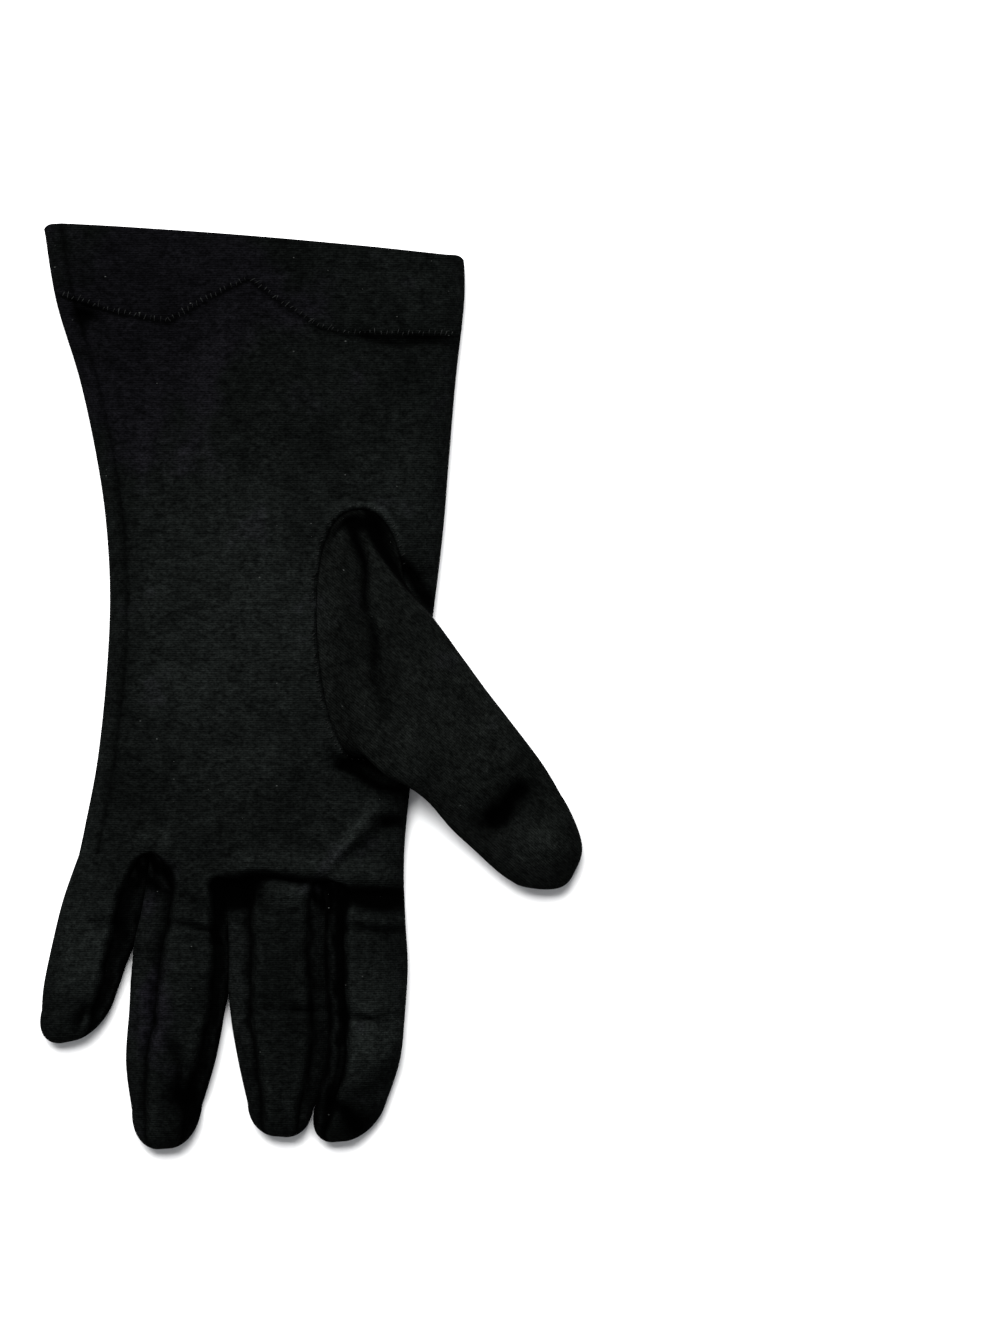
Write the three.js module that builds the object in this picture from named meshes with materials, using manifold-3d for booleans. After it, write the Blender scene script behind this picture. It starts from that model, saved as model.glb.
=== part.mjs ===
import * as THREE from 'three';
import Module from 'manifold-3d';
import { mergeGeometries, mergeVertices } from 'three/addons/utils/BufferGeometryUtils.js';

// A nylon dress glove lying palm up. Millimetres, +Z up, fingers towards -Y, thumb towards +X.
// Every piece is a sheet of cloth: a middle surface that is worked out first, then given its wall.

// Cloth
const WALL = 1.0;
const GAP = 0.3;
const FACING_GAP = 0.9;
const WELD = 0.001;

// Heights of the middle surface
const FLOOR_LAYER = WALL / 2;
const HAND_EDGE_HEIGHT = 6.0;
const FINGER_EDGE_HEIGHT = 6.8;
const FINGER_CROWN = 1.6;
const TIP_HEIGHT = 3.4;

// Sides and finger roots
const SIDE_ROUND = 5.0;
const BACK_SEAM_INSET = 3.0;
const FINGER_CLEARANCE = 0.75;
const CROTCH_DEPTH = 1.5;
const CREASE_SHARE = 0.5;
const TIP_BLUNT = 0.14;
const SEAM_RAMP = 0.12;
const ROOT_BLEND = 0.25;
const ROOT_BEND_START = 0.7;

// Thumb tube: how full its upper and under layers are, as powers of the sine
const TOP_FULLNESS = 0.8;
const UNDER_FULLNESS = 0.5;

// Mesh steps
const HAND_STEPS = 18;
const FINGER_STEPS = 12;
const CAP_STEPS = 5;
const SIDE_STEPS = 4;
const FACING_STEPS = 3;
const HOLE_STEPS = 36;
const THUMB_HALF_STEPS = 10;
const HAND_CROWDING = 1.5;
const FINGER_CROWDING = 1.3;
const MITRE_LIMIT = 0.25;
const KEY_STEP = 0.005;

// The outline of the hand from the hem edge to the finger roots, little-finger edge on the left
const HAND_ROWS = [
  { leftX: -74.8, leftY: 128.2, rightX: 42.3, rightY: 120.6, crown: 5.4 },
  { leftX: -71.4, leftY: 108.4, rightX: 42.4, rightY: 108.0, crown: 5.2 },
  { leftX: -64.7, leftY: 86.0, rightX: 40.0, rightY: 86.0, crown: 4.6 },
  { leftX: -59.9, leftY: 63.6, rightX: 38.1, rightY: 63.6, crown: 3.8 },
  { leftX: -57.3, leftY: 45.0, rightX: 36.6, rightY: 45.0, crown: 3.8 },
  { leftX: -56.3, leftY: 24.4, rightX: 34.2, rightY: 24.4, crown: 3.8 },
  { leftX: -57.4, leftY: 2.0, rightX: 31.2, rightY: 2.0, crown: 4.0 },
  { leftX: -59.8, leftY: -20.4, rightX: 28.0, rightY: -22.0, crown: 4.0 },
  { leftX: -63.2, leftY: -38.5, rightX: 25.8, rightY: -42.5, crown: 3.4 },
  { leftX: -65.0, leftY: -47.0, rightX: 25.5, rightY: -55.7, crown: 2.6 },
];

// The points where the slits between the fingers begin
const CROTCHES = [
  { name: 'pinky_ring', x: -44.5, y: -45.6 },
  { name: 'ring_middle', x: -24.1, y: -52.9 },
  { name: 'middle_index', x: 5.0, y: -53.5 },
];

// Each finger from its root to where its tip begins, with the width of each side strip
const FINGERS = [
  {
    name: 'pinky',
    columns: 4,
    tipX: -68.0,
    tipY: -99.4,
    rows: [
      { leftX: -65.0, leftY: -47.0, rightX: -44.5, rightY: -45.6, seamLeft: 5.0, seamRight: 7.0 },
      { leftX: -69.4, leftY: -59.6, rightX: -46.5, rightY: -58.5, seamLeft: 5.0, seamRight: 7.0 },
      { leftX: -72.5, leftY: -72.2, rightX: -49.3, rightY: -69.4, seamLeft: 5.0, seamRight: 6.6 },
      { leftX: -74.8, leftY: -83.4, rightX: -52.6, rightY: -79.8, seamLeft: 4.5, seamRight: 5.8 },
      { leftX: -75.4, leftY: -90.6, rightX: -54.9, rightY: -86.4, seamLeft: 4.0, seamRight: 5.0 },
    ],
  },
  {
    name: 'ring',
    columns: 4,
    tipX: -41.2,
    tipY: -129.4,
    rows: [
      { leftX: -44.5, leftY: -45.6, rightX: -24.1, rightY: -52.9, seamLeft: 7.0, seamRight: 4.0 },
      { leftX: -46.8, leftY: -61.0, rightX: -23.2, rightY: -64.6, seamLeft: 7.4, seamRight: 4.0 },
      { leftX: -50.2, leftY: -76.4, rightX: -23.2, rightY: -77.8, seamLeft: 8.0, seamRight: 4.0 },
      { leftX: -51.2, leftY: -90.4, rightX: -24.4, rightY: -91.0, seamLeft: 7.6, seamRight: 4.0 },
      { leftX: -52.1, leftY: -105.0, rightX: -26.9, rightY: -104.4, seamLeft: 6.0, seamRight: 4.8 },
      { leftX: -50.4, leftY: -118.4, rightX: -30.7, rightY: -117.0, seamLeft: 4.0, seamRight: 4.6 },
    ],
  },
  {
    name: 'middle',
    columns: 5,
    tipX: -9.0,
    tipY: -126.0,
    rows: [
      { leftX: -24.1, leftY: -52.9, rightX: 5.0, rightY: -53.5, seamLeft: 6.0, seamRight: 4.6 },
      { leftX: -23.0, leftY: -65.2, rightX: 4.2, rightY: -65.8, seamLeft: 6.0, seamRight: 4.8 },
      { leftX: -22.7, leftY: -77.8, rightX: 4.2, rightY: -78.7, seamLeft: 6.0, seamRight: 4.8 },
      { leftX: -22.8, leftY: -91.0, rightX: 5.0, rightY: -92.1, seamLeft: 5.8, seamRight: 4.8 },
      { leftX: -20.7, leftY: -104.4, rightX: 4.2, rightY: -105.0, seamLeft: 5.4, seamRight: 4.6 },
      { leftX: -18.0, leftY: -116.5, rightX: 0.2, rightY: -117.9, seamLeft: 4.0, seamRight: 3.6 },
    ],
  },
  {
    name: 'index',
    columns: 4,
    tipX: 7.8,
    tipY: -127.4,
    rows: [
      { leftX: 5.0, leftY: -53.5, rightX: 25.5, rightY: -55.7, seamLeft: 4.6, seamRight: 5.0 },
      { leftX: 4.2, leftY: -65.8, rightX: 26.0, rightY: -66.6, seamLeft: 4.9, seamRight: 5.0 },
      { leftX: 4.2, leftY: -78.7, rightX: 26.6, rightY: -78.1, seamLeft: 4.9, seamRight: 5.0 },
      { leftX: 5.2, leftY: -92.1, rightX: 25.8, rightY: -91.6, seamLeft: 4.4, seamRight: 5.0 },
      { leftX: 4.6, leftY: -105.0, rightX: 24.4, rightY: -104.4, seamLeft: 4.8, seamRight: 4.6 },
      { leftX: 0.8, leftY: -118.2, rightX: 20.4, rightY: -116.5, seamLeft: 5.0, seamRight: 4.0 },
    ],
  },
];

// Folds, creases and dents of the upper side: a positive height is a ridge, a negative one a valley
const FOLDS = [
  { name: 'roll over middle', x1: -22.4, y1: -50.4, x2: 5.0, y2: -50.0, width: 4.0, height: 1.2 },
  { name: 'valley under it', x1: -21.0, y1: -58.2, x2: 4.0, y2: -58.8, width: 3.6, height: -1.6 },
  { name: 'roll over index', x1: 8.0, y1: -52.6, x2: 22.0, y2: -52.4, width: 4.0, height: 1.0 },
  { name: 'valley under it', x1: 9.0, y1: -60.8, x2: 22.0, y2: -60.6, width: 3.6, height: -1.4 },
  { name: 'diagonal ridge', x1: 5.4, y1: -49.5, x2: 18.8, y2: -34.0, width: 3.4, height: 1.4 },
  { name: 'notch beside it', x1: 19.0, y1: -37.0, x2: 26.0, y2: -37.4, width: 3.0, height: -1.4 },
  { name: 'little crotch tent', x1: -51.0, y1: -41.6, x2: -37.0, y2: -43.4, width: 4.0, height: 0.9 },
  { name: 'little crotch pocket', x1: -44.5, y1: -50.0, x2: -40.0, y2: -57.0, width: 3.4, height: -1.8 },
  { name: 'little crease', x1: -62.0, y1: -66.4, x2: -56.0, y2: -66.4, width: 3.2, height: -0.8 },
  { name: 'ring crease', x1: -46.0, y1: -65.5, x2: -27.0, y2: -68.6, width: 3.2, height: -0.9 },
  { name: 'middle crease', x1: -20.0, y1: -88.5, x2: 2.8, y2: -91.3, width: 3.2, height: -0.9 },
  { name: 'index crease', x1: 9.8, y1: -92.1, x2: 24.9, y2: -92.1, width: 3.2, height: -0.9 },
  { name: 'pocket below thumb', x1: 10.0, y1: -22.6, x2: 24.0, y2: -29.0, width: 5.0, height: -1.5 },
  { name: 'dimple under hem', x1: -66.5, y1: 101.0, x2: -55.0, y2: 99.6, width: 4.0, height: -1.2 },
  { name: 'thumb valley, upper', x1: 12.6, y1: 36.0, x2: 18.2, y2: 16.2, width: 3.4, height: -1.6 },
  { name: 'thumb valley, lower', x1: 18.2, y1: 16.2, x2: 20.4, y2: -4.8, width: 3.4, height: -1.2 },
  { name: 'thumb dent', x1: 47.6, y1: -30.8, x2: 60.2, y2: -39.2, width: 4.5, height: -1.6 },
];

// Depth of the turned-in hem on the palm side, along the width from 0 at the little-finger edge
const HEM_LINE = [
  { across: 0.0, depth: 18.2 },
  { across: 0.145, depth: 23.1 },
  { across: 0.265, depth: 24.7 },
  { across: 0.375, depth: 17.5 },
  { across: 0.48, depth: 11.0 },
  { across: 0.541, depth: 16.3 },
  { across: 0.64, depth: 23.1 },
  { across: 0.708, depth: 24.5 },
  { across: 1.0, depth: 22.5 },
];
const BACK_HEM_DEPTH = 21.0;
const FACING_START = 0.004;

// The oval that joins the thumb to the palm, and the thumb from that oval to its tip
const OVAL_HALF_LENGTH = 34.4;
const OVAL_HALF_WIDTH = 12.0;
const OVAL_X = 13.6;
const OVAL_Y = 15.1;
const OVAL_POWER = 0.8;
const OVAL_EGG = 0.15;
const HOLE_SIDE_GROWTH = 0.55;
const HOLE_END_GROWTH = 0.85;
const HOLE_SHIFT = 0.25;
const HOLE_FLOOR = 3.2;
const HOLE_TOP = 22.0;
const THUMB_TIP = { x: 73.6, y: -50.8, height: 3.6 };
const THUMB_STATIONS = [0, 0.15, 0.5, 1, 1.5, 2, 2.5, 3, 3.6, 4.3, 5, 6, 7, 8];
const LIP_STATION = 0.15;
const TOP_BLEND_STATION = 1.5;
const THUMB_ROWS = [
  { upX: 13.6, upY: 49.5, lowX: 13.6, lowY: -19.3, bowTop: 12.0, bowUnder: 12.0, under: 9.0, thick: 2.0 },
  { upX: 15.7, upY: 40.6, lowX: 15.2, lowY: -18.0, bowTop: 8.0, bowUnder: 10.6, under: 9.0, thick: 4.5 },
  { upX: 24.6, upY: 28.6, lowX: 21.6, lowY: -24.4, bowTop: 4.0, bowUnder: 5.5, under: 8.8, thick: 7.6 },
  { upX: 33.9, upY: 18.8, lowX: 27.2, lowY: -27.4, bowTop: 1.0, bowUnder: 1.5, under: 7.6, thick: 9.0 },
  { upX: 42.3, upY: 7.6, lowX: 33.0, lowY: -31.9, bowTop: 0.0, bowUnder: 0.0, under: 5.0, thick: 9.0 },
  { upX: 48.4, upY: -0.8, lowX: 39.2, lowY: -39.2, bowTop: 0.0, bowUnder: 0.0, under: 2.8, thick: 9.0 },
  { upX: 54.9, upY: -9.2, lowX: 45.6, lowY: -45.2, bowTop: 0.0, bowUnder: 0.0, under: 1.2, thick: 9.0 },
  { upX: 64.1, upY: -21.4, lowX: 52.6, lowY: -51.6, bowTop: 0.0, bowUnder: 0.0, under: 0.5, thick: 8.8 },
  { upX: 69.6, upY: -30.6, lowX: 57.7, lowY: -55.0, bowTop: 0.0, bowUnder: 0.0, under: 0.5, thick: 8.2 },
];

// The middle of the bounding box, which becomes the part's origin
const ORIGIN_X = 0.09;
const ORIGIN_Y = -0.69;

// Colours
const PALM_BLACK = { color: 0x17191a, roughness: 0.9, metalness: 0 };
const STRIP_BLACK = { color: 0x121415, roughness: 0.9, metalness: 0 };

const { lerp, smoothstep } = THREE.MathUtils;

// Tables

function catmullRom(f, before, start, end, after) {
  const slopeIn = (end - before) / 2;
  const slopeOut = (after - start) / 2;
  const bend = 2 * start - 2 * end + slopeIn + slopeOut;
  const ease = 3 * end - 3 * start - 2 * slopeIn - slopeOut;
  return start + slopeIn * f + ease * f * f + bend * f * f * f;
}

// All columns of a table at a place that counts rows from 0, on a smooth curve through the rows
function sampleTable(rows, place) {
  const last = rows.length - 1;
  const i = Math.min(Math.floor(place), last - 1);
  const before = rows[Math.max(i - 1, 0)];
  const after = rows[Math.min(i + 2, last)];
  const sampled = {};
  for (const column of Object.keys(rows[i])) {
    const four = [before, rows[i], rows[i + 1], after].map((row) => row[column]);
    sampled[column] = catmullRom(place - i, ...four);
  }
  return sampled;
}

// One column of a table at a value of another column, on straight lines
function lookUp(rows, column, by, value) {
  const rising = rows[rows.length - 1][by] > rows[0][by];
  let i = 0;
  while (i < rows.length - 2 && (rising ? value > rows[i + 1][by] : value < rows[i + 1][by])) i += 1;
  const share = (value - rows[i][by]) / (rows[i + 1][by] - rows[i][by]);
  return lerp(rows[i][column], rows[i + 1][column], share);
}

// Height of the upper side

function foldHeight(x, y) {
  let height = 0;
  for (const fold of FOLDS) {
    const alongX = fold.x2 - fold.x1;
    const alongY = fold.y2 - fold.y1;
    const reach = ((x - fold.x1) * alongX + (y - fold.y1) * alongY) / (alongX ** 2 + alongY ** 2);
    const share = THREE.MathUtils.clamp(reach, 0, 1);
    const distance = Math.hypot(x - fold.x1 - share * alongX, y - fold.y1 - share * alongY);
    height += fold.height * Math.exp(-((distance / fold.width) ** 2));
  }
  return height;
}

function handHeight(x, y) {
  const left = lookUp(HAND_ROWS, 'leftX', 'leftY', y);
  const right = lookUp(HAND_ROWS, 'rightX', 'rightY', y);
  const fingerEnd = HAND_ROWS[HAND_ROWS.length - 1].leftY;
  const hemEnd = HAND_ROWS[0].leftY;
  const crown = lookUp(HAND_ROWS, 'crown', 'leftY', THREE.MathUtils.clamp(y, fingerEnd, hemEnd));
  const across = THREE.MathUtils.clamp((x - left) / (right - left), 0, 1);
  return HAND_EDGE_HEIGHT + crown * 4 * across * (1 - across);
}

function palmHeight(x, y) {
  return handHeight(x, y) + foldHeight(x, y);
}

// Sections

// A side from the upper layer round the outermost point to the lower layer, softly creased
function sideCurve(upper, outermost, lower) {
  const points = [];
  for (let i = 0; i <= SIDE_STEPS; i += 1) {
    const w = i / SIDE_STEPS;
    const bulge = (1 - CREASE_SHARE) * Math.sin(Math.PI * w) + CREASE_SHARE * (1 - Math.abs(2 * w - 1));
    const chord = upper.clone().lerp(lower, w);
    const middle = upper.clone().lerp(lower, 0.5);
    points.push(chord.add(outermost.clone().sub(middle).multiplyScalar(bulge)));
  }
  return points;
}

// Places of the palm's columns along its width, so that a column runs into every crotch
function handColumns() {
  const last = HAND_ROWS[HAND_ROWS.length - 1];
  const start = last.leftX + SIDE_ROUND;
  const width = last.rightX - SIDE_ROUND - start;
  const stops = [0, ...CROTCHES.map((crotch) => (crotch.x - start) / width), 1];
  const columns = [0];
  FINGERS.forEach((finger, i) => {
    for (let c = 1; c <= finger.columns; c += 1) {
      columns.push(lerp(stops[i], stops[i + 1], c / finger.columns));
    }
  });
  return { stops, columns };
}

const { stops: CROTCH_STOPS, columns: HAND_COLUMNS } = handColumns();

// How far the row of the finger roots departs from a straight line
function rootOffset(across) {
  const last = HAND_ROWS[HAND_ROWS.length - 1];
  const offsets = CROTCHES.map((crotch, i) => crotch.y - lerp(last.leftY, last.rightY, CROTCH_STOPS[i + 1]));
  const rows = [0, ...offsets, 0].map((offset, i) => ({ across: CROTCH_STOPS[i], offset }));
  return lookUp(rows, 'offset', 'across', across);
}

// The ring of the hand at a place from 0 at the hem edge to 1 at the finger roots
function handRing(place) {
  const row = sampleTable(HAND_ROWS, place * (HAND_ROWS.length - 1));
  const bend = smoothstep(place, ROOT_BEND_START, 1);
  const at = (across, z) => {
    const x = lerp(row.leftX + SIDE_ROUND, row.rightX - SIDE_ROUND, across);
    const y = lerp(row.leftY, row.rightY, across) + bend * rootOffset(across);
    return new THREE.Vector3(x, y, z ?? palmHeight(x, y));
  };
  const front = HAND_COLUMNS.map((across) => at(across));
  const back = [...HAND_COLUMNS].reverse().map((across) => at(across, FLOOR_LAYER));
  const middle = (FLOOR_LAYER + HAND_EDGE_HEIGHT) / 2;
  const right = new THREE.Vector3(row.rightX - WALL / 2, row.rightY, middle);
  const left = new THREE.Vector3(row.leftX + WALL / 2, row.leftY, middle);
  return {
    front,
    right: sideCurve(front[front.length - 1], right, back[0]),
    back,
    left: sideCurve(back[back.length - 1], left, front[0]),
  };
}

// The ring of a finger: two strips, and two sides that bulge to the finger's outline
function fingerRing(finger, place, cap) {
  const row = sampleTable(finger.rows, place * (finger.rows.length - 1));
  const leftEnd = new THREE.Vector2(row.leftX, row.leftY);
  const rightEnd = new THREE.Vector2(row.rightX, row.rightY);
  const centre = leftEnd.clone().lerp(rightEnd, 0.5);
  const half = rightEnd.clone().sub(leftEnd).multiplyScalar(0.5);
  const width = half.length() * 2;
  const swell = Math.cos(cap);
  centre.lerp(new THREE.Vector2(finger.tipX, finger.tipY + WALL / 2), Math.sin(cap));
  half.multiplyScalar(TIP_BLUNT + (1 - TIP_BLUNT) * swell);
  const ramp = smoothstep(place, 0, SEAM_RAMP);
  const outerLeft = finger === FINGERS[0];
  const outerRight = finger === FINGERS[FINGERS.length - 1];
  const at = (across) => centre.clone().addScaledVector(half, 2 * across - 1);
  const strip = (insetLeft, insetRight, height) => {
    const points = [];
    for (let c = 0; c <= finger.columns; c += 1) {
      const share = c / finger.columns;
      const spot = at(lerp(insetLeft / width, 1 - insetRight / width, share));
      points.push(new THREE.Vector3(spot.x, spot.y, height(spot, share)));
    }
    return points;
  };
  const rise = (spot, share) => {
    const own = FINGER_EDGE_HEIGHT + FINGER_CROWN * 4 * share * (1 - share);
    const full = lerp(handHeight(spot.x, spot.y), own, smoothstep(place, 0, ROOT_BLEND));
    return lerp(TIP_HEIGHT, full + foldHeight(spot.x, spot.y), swell);
  };
  const ground = () => lerp(TIP_HEIGHT, FLOOR_LAYER, swell);
  const frontLeft = swell * row.seamLeft * (outerLeft ? 1 : ramp);
  const frontRight = swell * row.seamRight * (outerRight ? 1 : ramp);
  const backLeft = swell * (outerLeft ? row.seamLeft : BACK_SEAM_INSET * ramp);
  const backRight = swell * (outerRight ? row.seamRight : BACK_SEAM_INSET * ramp);
  const front = strip(frontLeft, frontRight, rise);
  const back = strip(backLeft, backRight, ground).reverse();
  const side = (upper, lower, edge, clearance) => {
    const middle = upper.z / 2 + lower.z / 2;
    return new THREE.Vector3(edge.x + clearance, edge.y, middle);
  };
  const shift = FINGER_CLEARANCE * ramp * swell;
  const rightPoint = side(front[front.length - 1], back[0], at(1), outerRight ? -WALL / 2 : -shift);
  const leftPoint = side(front[0], back[back.length - 1], at(0), outerLeft ? WALL / 2 : shift);
  return {
    front,
    right: sideCurve(front[front.length - 1], rightPoint, back[0]),
    back,
    left: sideCurve(back[back.length - 1], leftPoint, front[0]),
  };
}

// The first ring of a finger is its share of the hand's last ring, with a fold in each crotch
function rootRing(fingerIndex, lastRing) {
  const first = FINGERS.slice(0, fingerIndex).reduce((sum, finger) => sum + finger.columns, 0);
  const count = FINGERS[fingerIndex].columns;
  const total = HAND_COLUMNS.length - 1;
  const front = lastRing.front.slice(first, first + count + 1);
  const back = lastRing.back.slice(total - first - count, total - first + 1);
  const crotchSide = (start, end) => {
    const fold = new THREE.Vector3(start.x, start.y - CROTCH_DEPTH, (start.z + end.z) / 2);
    return sideCurve(start, fold, end);
  };
  const outerLeft = fingerIndex === 0;
  const outerRight = fingerIndex === FINGERS.length - 1;
  return {
    front,
    right: outerRight ? lastRing.right : crotchSide(front[count], back[0]),
    back,
    left: outerLeft ? lastRing.left : crotchSide(back[count], front[0]),
  };
}

// Sheets

// Triangles of a grid of points, rows towards the fingertips, seen from outside
function gridSheet(rows) {
  const positions = [];
  for (let r = 0; r < rows.length - 1; r += 1) {
    for (let c = 0; c < rows[r].length - 1; c += 1) {
      const corners = [rows[r][c], rows[r + 1][c], rows[r + 1][c + 1], rows[r][c + 1]];
      for (const pick of [[0, 1, 2], [0, 2, 3]]) {
        const [a, b, d] = pick.map((i) => corners[i]);
        const flat = a.distanceTo(b) < WELD || b.distanceTo(d) < WELD || d.distanceTo(a) < WELD;
        if (!flat) [a, b, d].forEach((point) => positions.push(point.x, point.y, point.z));
      }
    }
  }
  const geometry = new THREE.BufferGeometry();
  geometry.setAttribute('position', new THREE.Float32BufferAttribute(positions, 3));
  return geometry;
}

function joinSheets(sheets) {
  return mergeVertices(mergeGeometries(sheets), WELD);
}

function placeKey(x, y, z) {
  return [x, y, z].map((value) => Math.round(value / KEY_STEP)).join(',');
}

// Outward directions of all sheets taken together, so that neighbours meet at a mitre
function sharedNormals(sheets) {
  const whole = joinSheets(sheets);
  whole.computeVertexNormals();
  const position = whole.getAttribute('position');
  const normal = whole.getAttribute('normal');
  const normals = new Map();
  for (let i = 0; i < position.count; i += 1) {
    const key = placeKey(position.getX(i), position.getY(i), position.getZ(i));
    normals.set(key, new THREE.Vector3().fromBufferAttribute(normal, i));
  }
  return normals;
}

// The edges that only one triangle of the sheet has, each with the direction into the sheet
function openEdges(triangles, points) {
  const uses = new Map();
  for (let i = 0; i < triangles.length; i += 3) {
    for (let k = 0; k < 3; k += 1) {
      const from = triangles[i + k];
      const to = triangles[i + ((k + 1) % 3)];
      const key = from < to ? `${from}_${to}` : `${to}_${from}`;
      const apex = triangles[i + ((k + 2) % 3)];
      uses.set(key, uses.has(key) ? null : { from, to, apex });
    }
  }
  const edges = [...uses.values()].filter((edge) => edge !== null);
  for (const edge of edges) {
    const along = points[edge.to].clone().sub(points[edge.from]).normalize();
    const inward = points[edge.apex].clone().sub(points[edge.from]);
    edge.inward = inward.addScaledVector(along, -inward.dot(along)).normalize();
  }
  return edges;
}

// Moves the open edges of a sheet inwards by half the gap, with mitred corners
function pullBack(edges, points) {
  const pulls = new Map();
  for (const edge of edges) {
    for (const end of [edge.from, edge.to]) {
      pulls.set(end, [...(pulls.get(end) ?? []), edge.inward]);
    }
  }
  for (const [index, [one, other]] of pulls) {
    const mitre = one.clone().add(other).divideScalar(Math.max(1 + one.dot(other), MITRE_LIMIT));
    points[index].addScaledVector(mitre, GAP / 2);
  }
}

// A closed wall around the sheet, or shifted along its normals: both faces, and a rim along open edges
function thicken(sheet, normals, shift = 0) {
  const position = sheet.getAttribute('position');
  const triangles = [...sheet.getIndex().array];
  const points = [];
  for (let i = 0; i < position.count; i += 1) {
    points.push(new THREE.Vector3().fromBufferAttribute(position, i));
  }
  const directions = points.map((point) => normals.get(placeKey(point.x, point.y, point.z)));
  const edges = openEdges(triangles, points);
  pullBack(edges, points);
  const count = points.length;
  const vertices = [];
  for (const side of [shift + WALL / 2, shift - WALL / 2]) {
    points.forEach((point, i) => {
      const moved = point.clone().addScaledVector(directions[i], side);
      vertices.push(moved.x, moved.y, moved.z);
    });
  }
  const faces = [...triangles];
  for (let i = 0; i < triangles.length; i += 3) {
    faces.push(triangles[i] + count, triangles[i + 2] + count, triangles[i + 1] + count);
  }
  for (const { from, to } of edges) {
    faces.push(to, from, from + count, to, from + count, to + count);
  }
  const geometry = new THREE.BufferGeometry();
  geometry.setAttribute('position', new THREE.Float32BufferAttribute(vertices, 3));
  geometry.setIndex(faces);
  return geometry;
}

// Hand and fingers

function wholeRing(ring) {
  return [...ring.front, ...ring.right.slice(1), ...ring.back.slice(1), ...ring.left.slice(1)];
}

const STRIP_NAMES = CROTCHES.map((crotch) => `fourchette_${crotch.name}`);

// The sheets of every piece: the trank with the fingers' fronts and backs, and the side strips
function handSheets() {
  const sheets = { trank: [] };
  STRIP_NAMES.forEach((name) => {
    sheets[name] = [];
  });
  const handRings = [];
  for (let i = 0; i <= HAND_STEPS; i += 1) {
    handRings.push(handRing(1 - (1 - i / HAND_STEPS) ** HAND_CROWDING));
  }
  sheets.trank.push(gridSheet(handRings.map(wholeRing)));
  FINGERS.forEach((finger, i) => {
    const rings = [rootRing(i, handRings[HAND_STEPS])];
    for (let step = 1; step <= FINGER_STEPS; step += 1) {
      rings.push(fingerRing(finger, (step / FINGER_STEPS) ** FINGER_CROWDING, 0));
    }
    for (let step = 1; step <= CAP_STEPS; step += 1) {
      rings.push(fingerRing(finger, 1, (step / CAP_STEPS) * (Math.PI / 2)));
    }
    sheets.trank.push(gridSheet(rings.map((ring) => ring.front)));
    sheets.trank.push(gridSheet(rings.map((ring) => ring.back)));
    sheets[STRIP_NAMES[i] ?? 'trank'].push(gridSheet(rings.map((ring) => ring.right)));
    sheets[STRIP_NAMES[i - 1] ?? 'trank'].push(gridSheet(rings.map((ring) => ring.left)));
  });
  return sheets;
}

// Hem facing

// The facing is a ring inside the cuff, as deep as the hem line on the palm side
function facingSheet() {
  const placeAt = (across, depth) => {
    const heights = HAND_ROWS.map((row, i) => ({ place: i, y: lerp(row.leftY, row.rightY, across) }));
    return lookUp(heights, 'place', 'y', heights[0].y - depth) / (HAND_ROWS.length - 1);
  };
  const palmPlace = (across) => placeAt(across, lookUp(HEM_LINE, 'depth', 'across', across));
  const places = [
    ...HAND_COLUMNS.map(palmPlace),
    ...Array(SIDE_STEPS).fill(palmPlace(1)),
    ...[...HAND_COLUMNS].reverse().slice(1).map((across) => placeAt(across, BACK_HEM_DEPTH)),
    ...Array(SIDE_STEPS).fill(palmPlace(0)),
  ];
  const rows = [];
  for (let step = 0; step <= FACING_STEPS; step += 1) {
    const share = step / FACING_STEPS;
    rows.push(places.map((place, i) => wholeRing(handRing(lerp(FACING_START, place, share)))[i]));
  }
  return gridSheet(rows);
}

// Thumb

// Width of an oval that is blunter and wider at its hem end, where the angle is 0
function ovalShare(angle) {
  const lift = Math.sin(angle);
  return Math.sign(lift) * Math.abs(lift) ** OVAL_POWER * (1 + OVAL_EGG * Math.cos(angle));
}

// A ring of the thumb: its upper layer from the fold on the hem side to the other, then its under layer
function thumbRing(station, cap) {
  const row = sampleTable(THUMB_ROWS, station);
  const swell = Math.cos(cap);
  const upper = new THREE.Vector2(row.upX, row.upY);
  const lower = new THREE.Vector2(row.lowX, row.lowY);
  const centre = upper.clone().lerp(lower, 0.5);
  const half = lower.clone().sub(upper).multiplyScalar(0.5 * (TIP_BLUNT + (1 - TIP_BLUNT) * swell));
  centre.lerp(new THREE.Vector2(THUMB_TIP.x, THUMB_TIP.y), Math.sin(cap));
  const points = [];
  for (let i = 0; i <= 2 * THUMB_HALF_STEPS; i += 1) {
    const angle = (Math.PI * i) / THUMB_HALF_STEPS;
    const lift = Math.sin(angle);
    const bow = lift > 0 ? row.bowTop : row.bowUnder;
    const spot = centre.clone().addScaledVector(half, -Math.cos(angle));
    spot.x -= bow * ovalShare(angle);
    const over = 0.5 + 0.5 * Math.abs(lift) ** TOP_FULLNESS;
    const below = 0.5 - 0.5 * Math.abs(lift) ** UNDER_FULLNESS;
    const share = lift > 0 ? over : below;
    const dents = lift > 0 ? foldHeight(spot.x, spot.y) * lift : 0;
    const tube = lerp(THUMB_TIP.height, row.under + row.thick * share + dents, swell);
    const blendEnd = lerp(LIP_STATION, TOP_BLEND_STATION, 0.5 + 0.5 * lift);
    const loose = station === 0 ? 0 : smoothstep(station, 0, blendEnd);
    points.push(new THREE.Vector3(spot.x, spot.y, lerp(palmHeight(spot.x, spot.y), tube, loose)));
  }
  return points;
}

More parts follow.
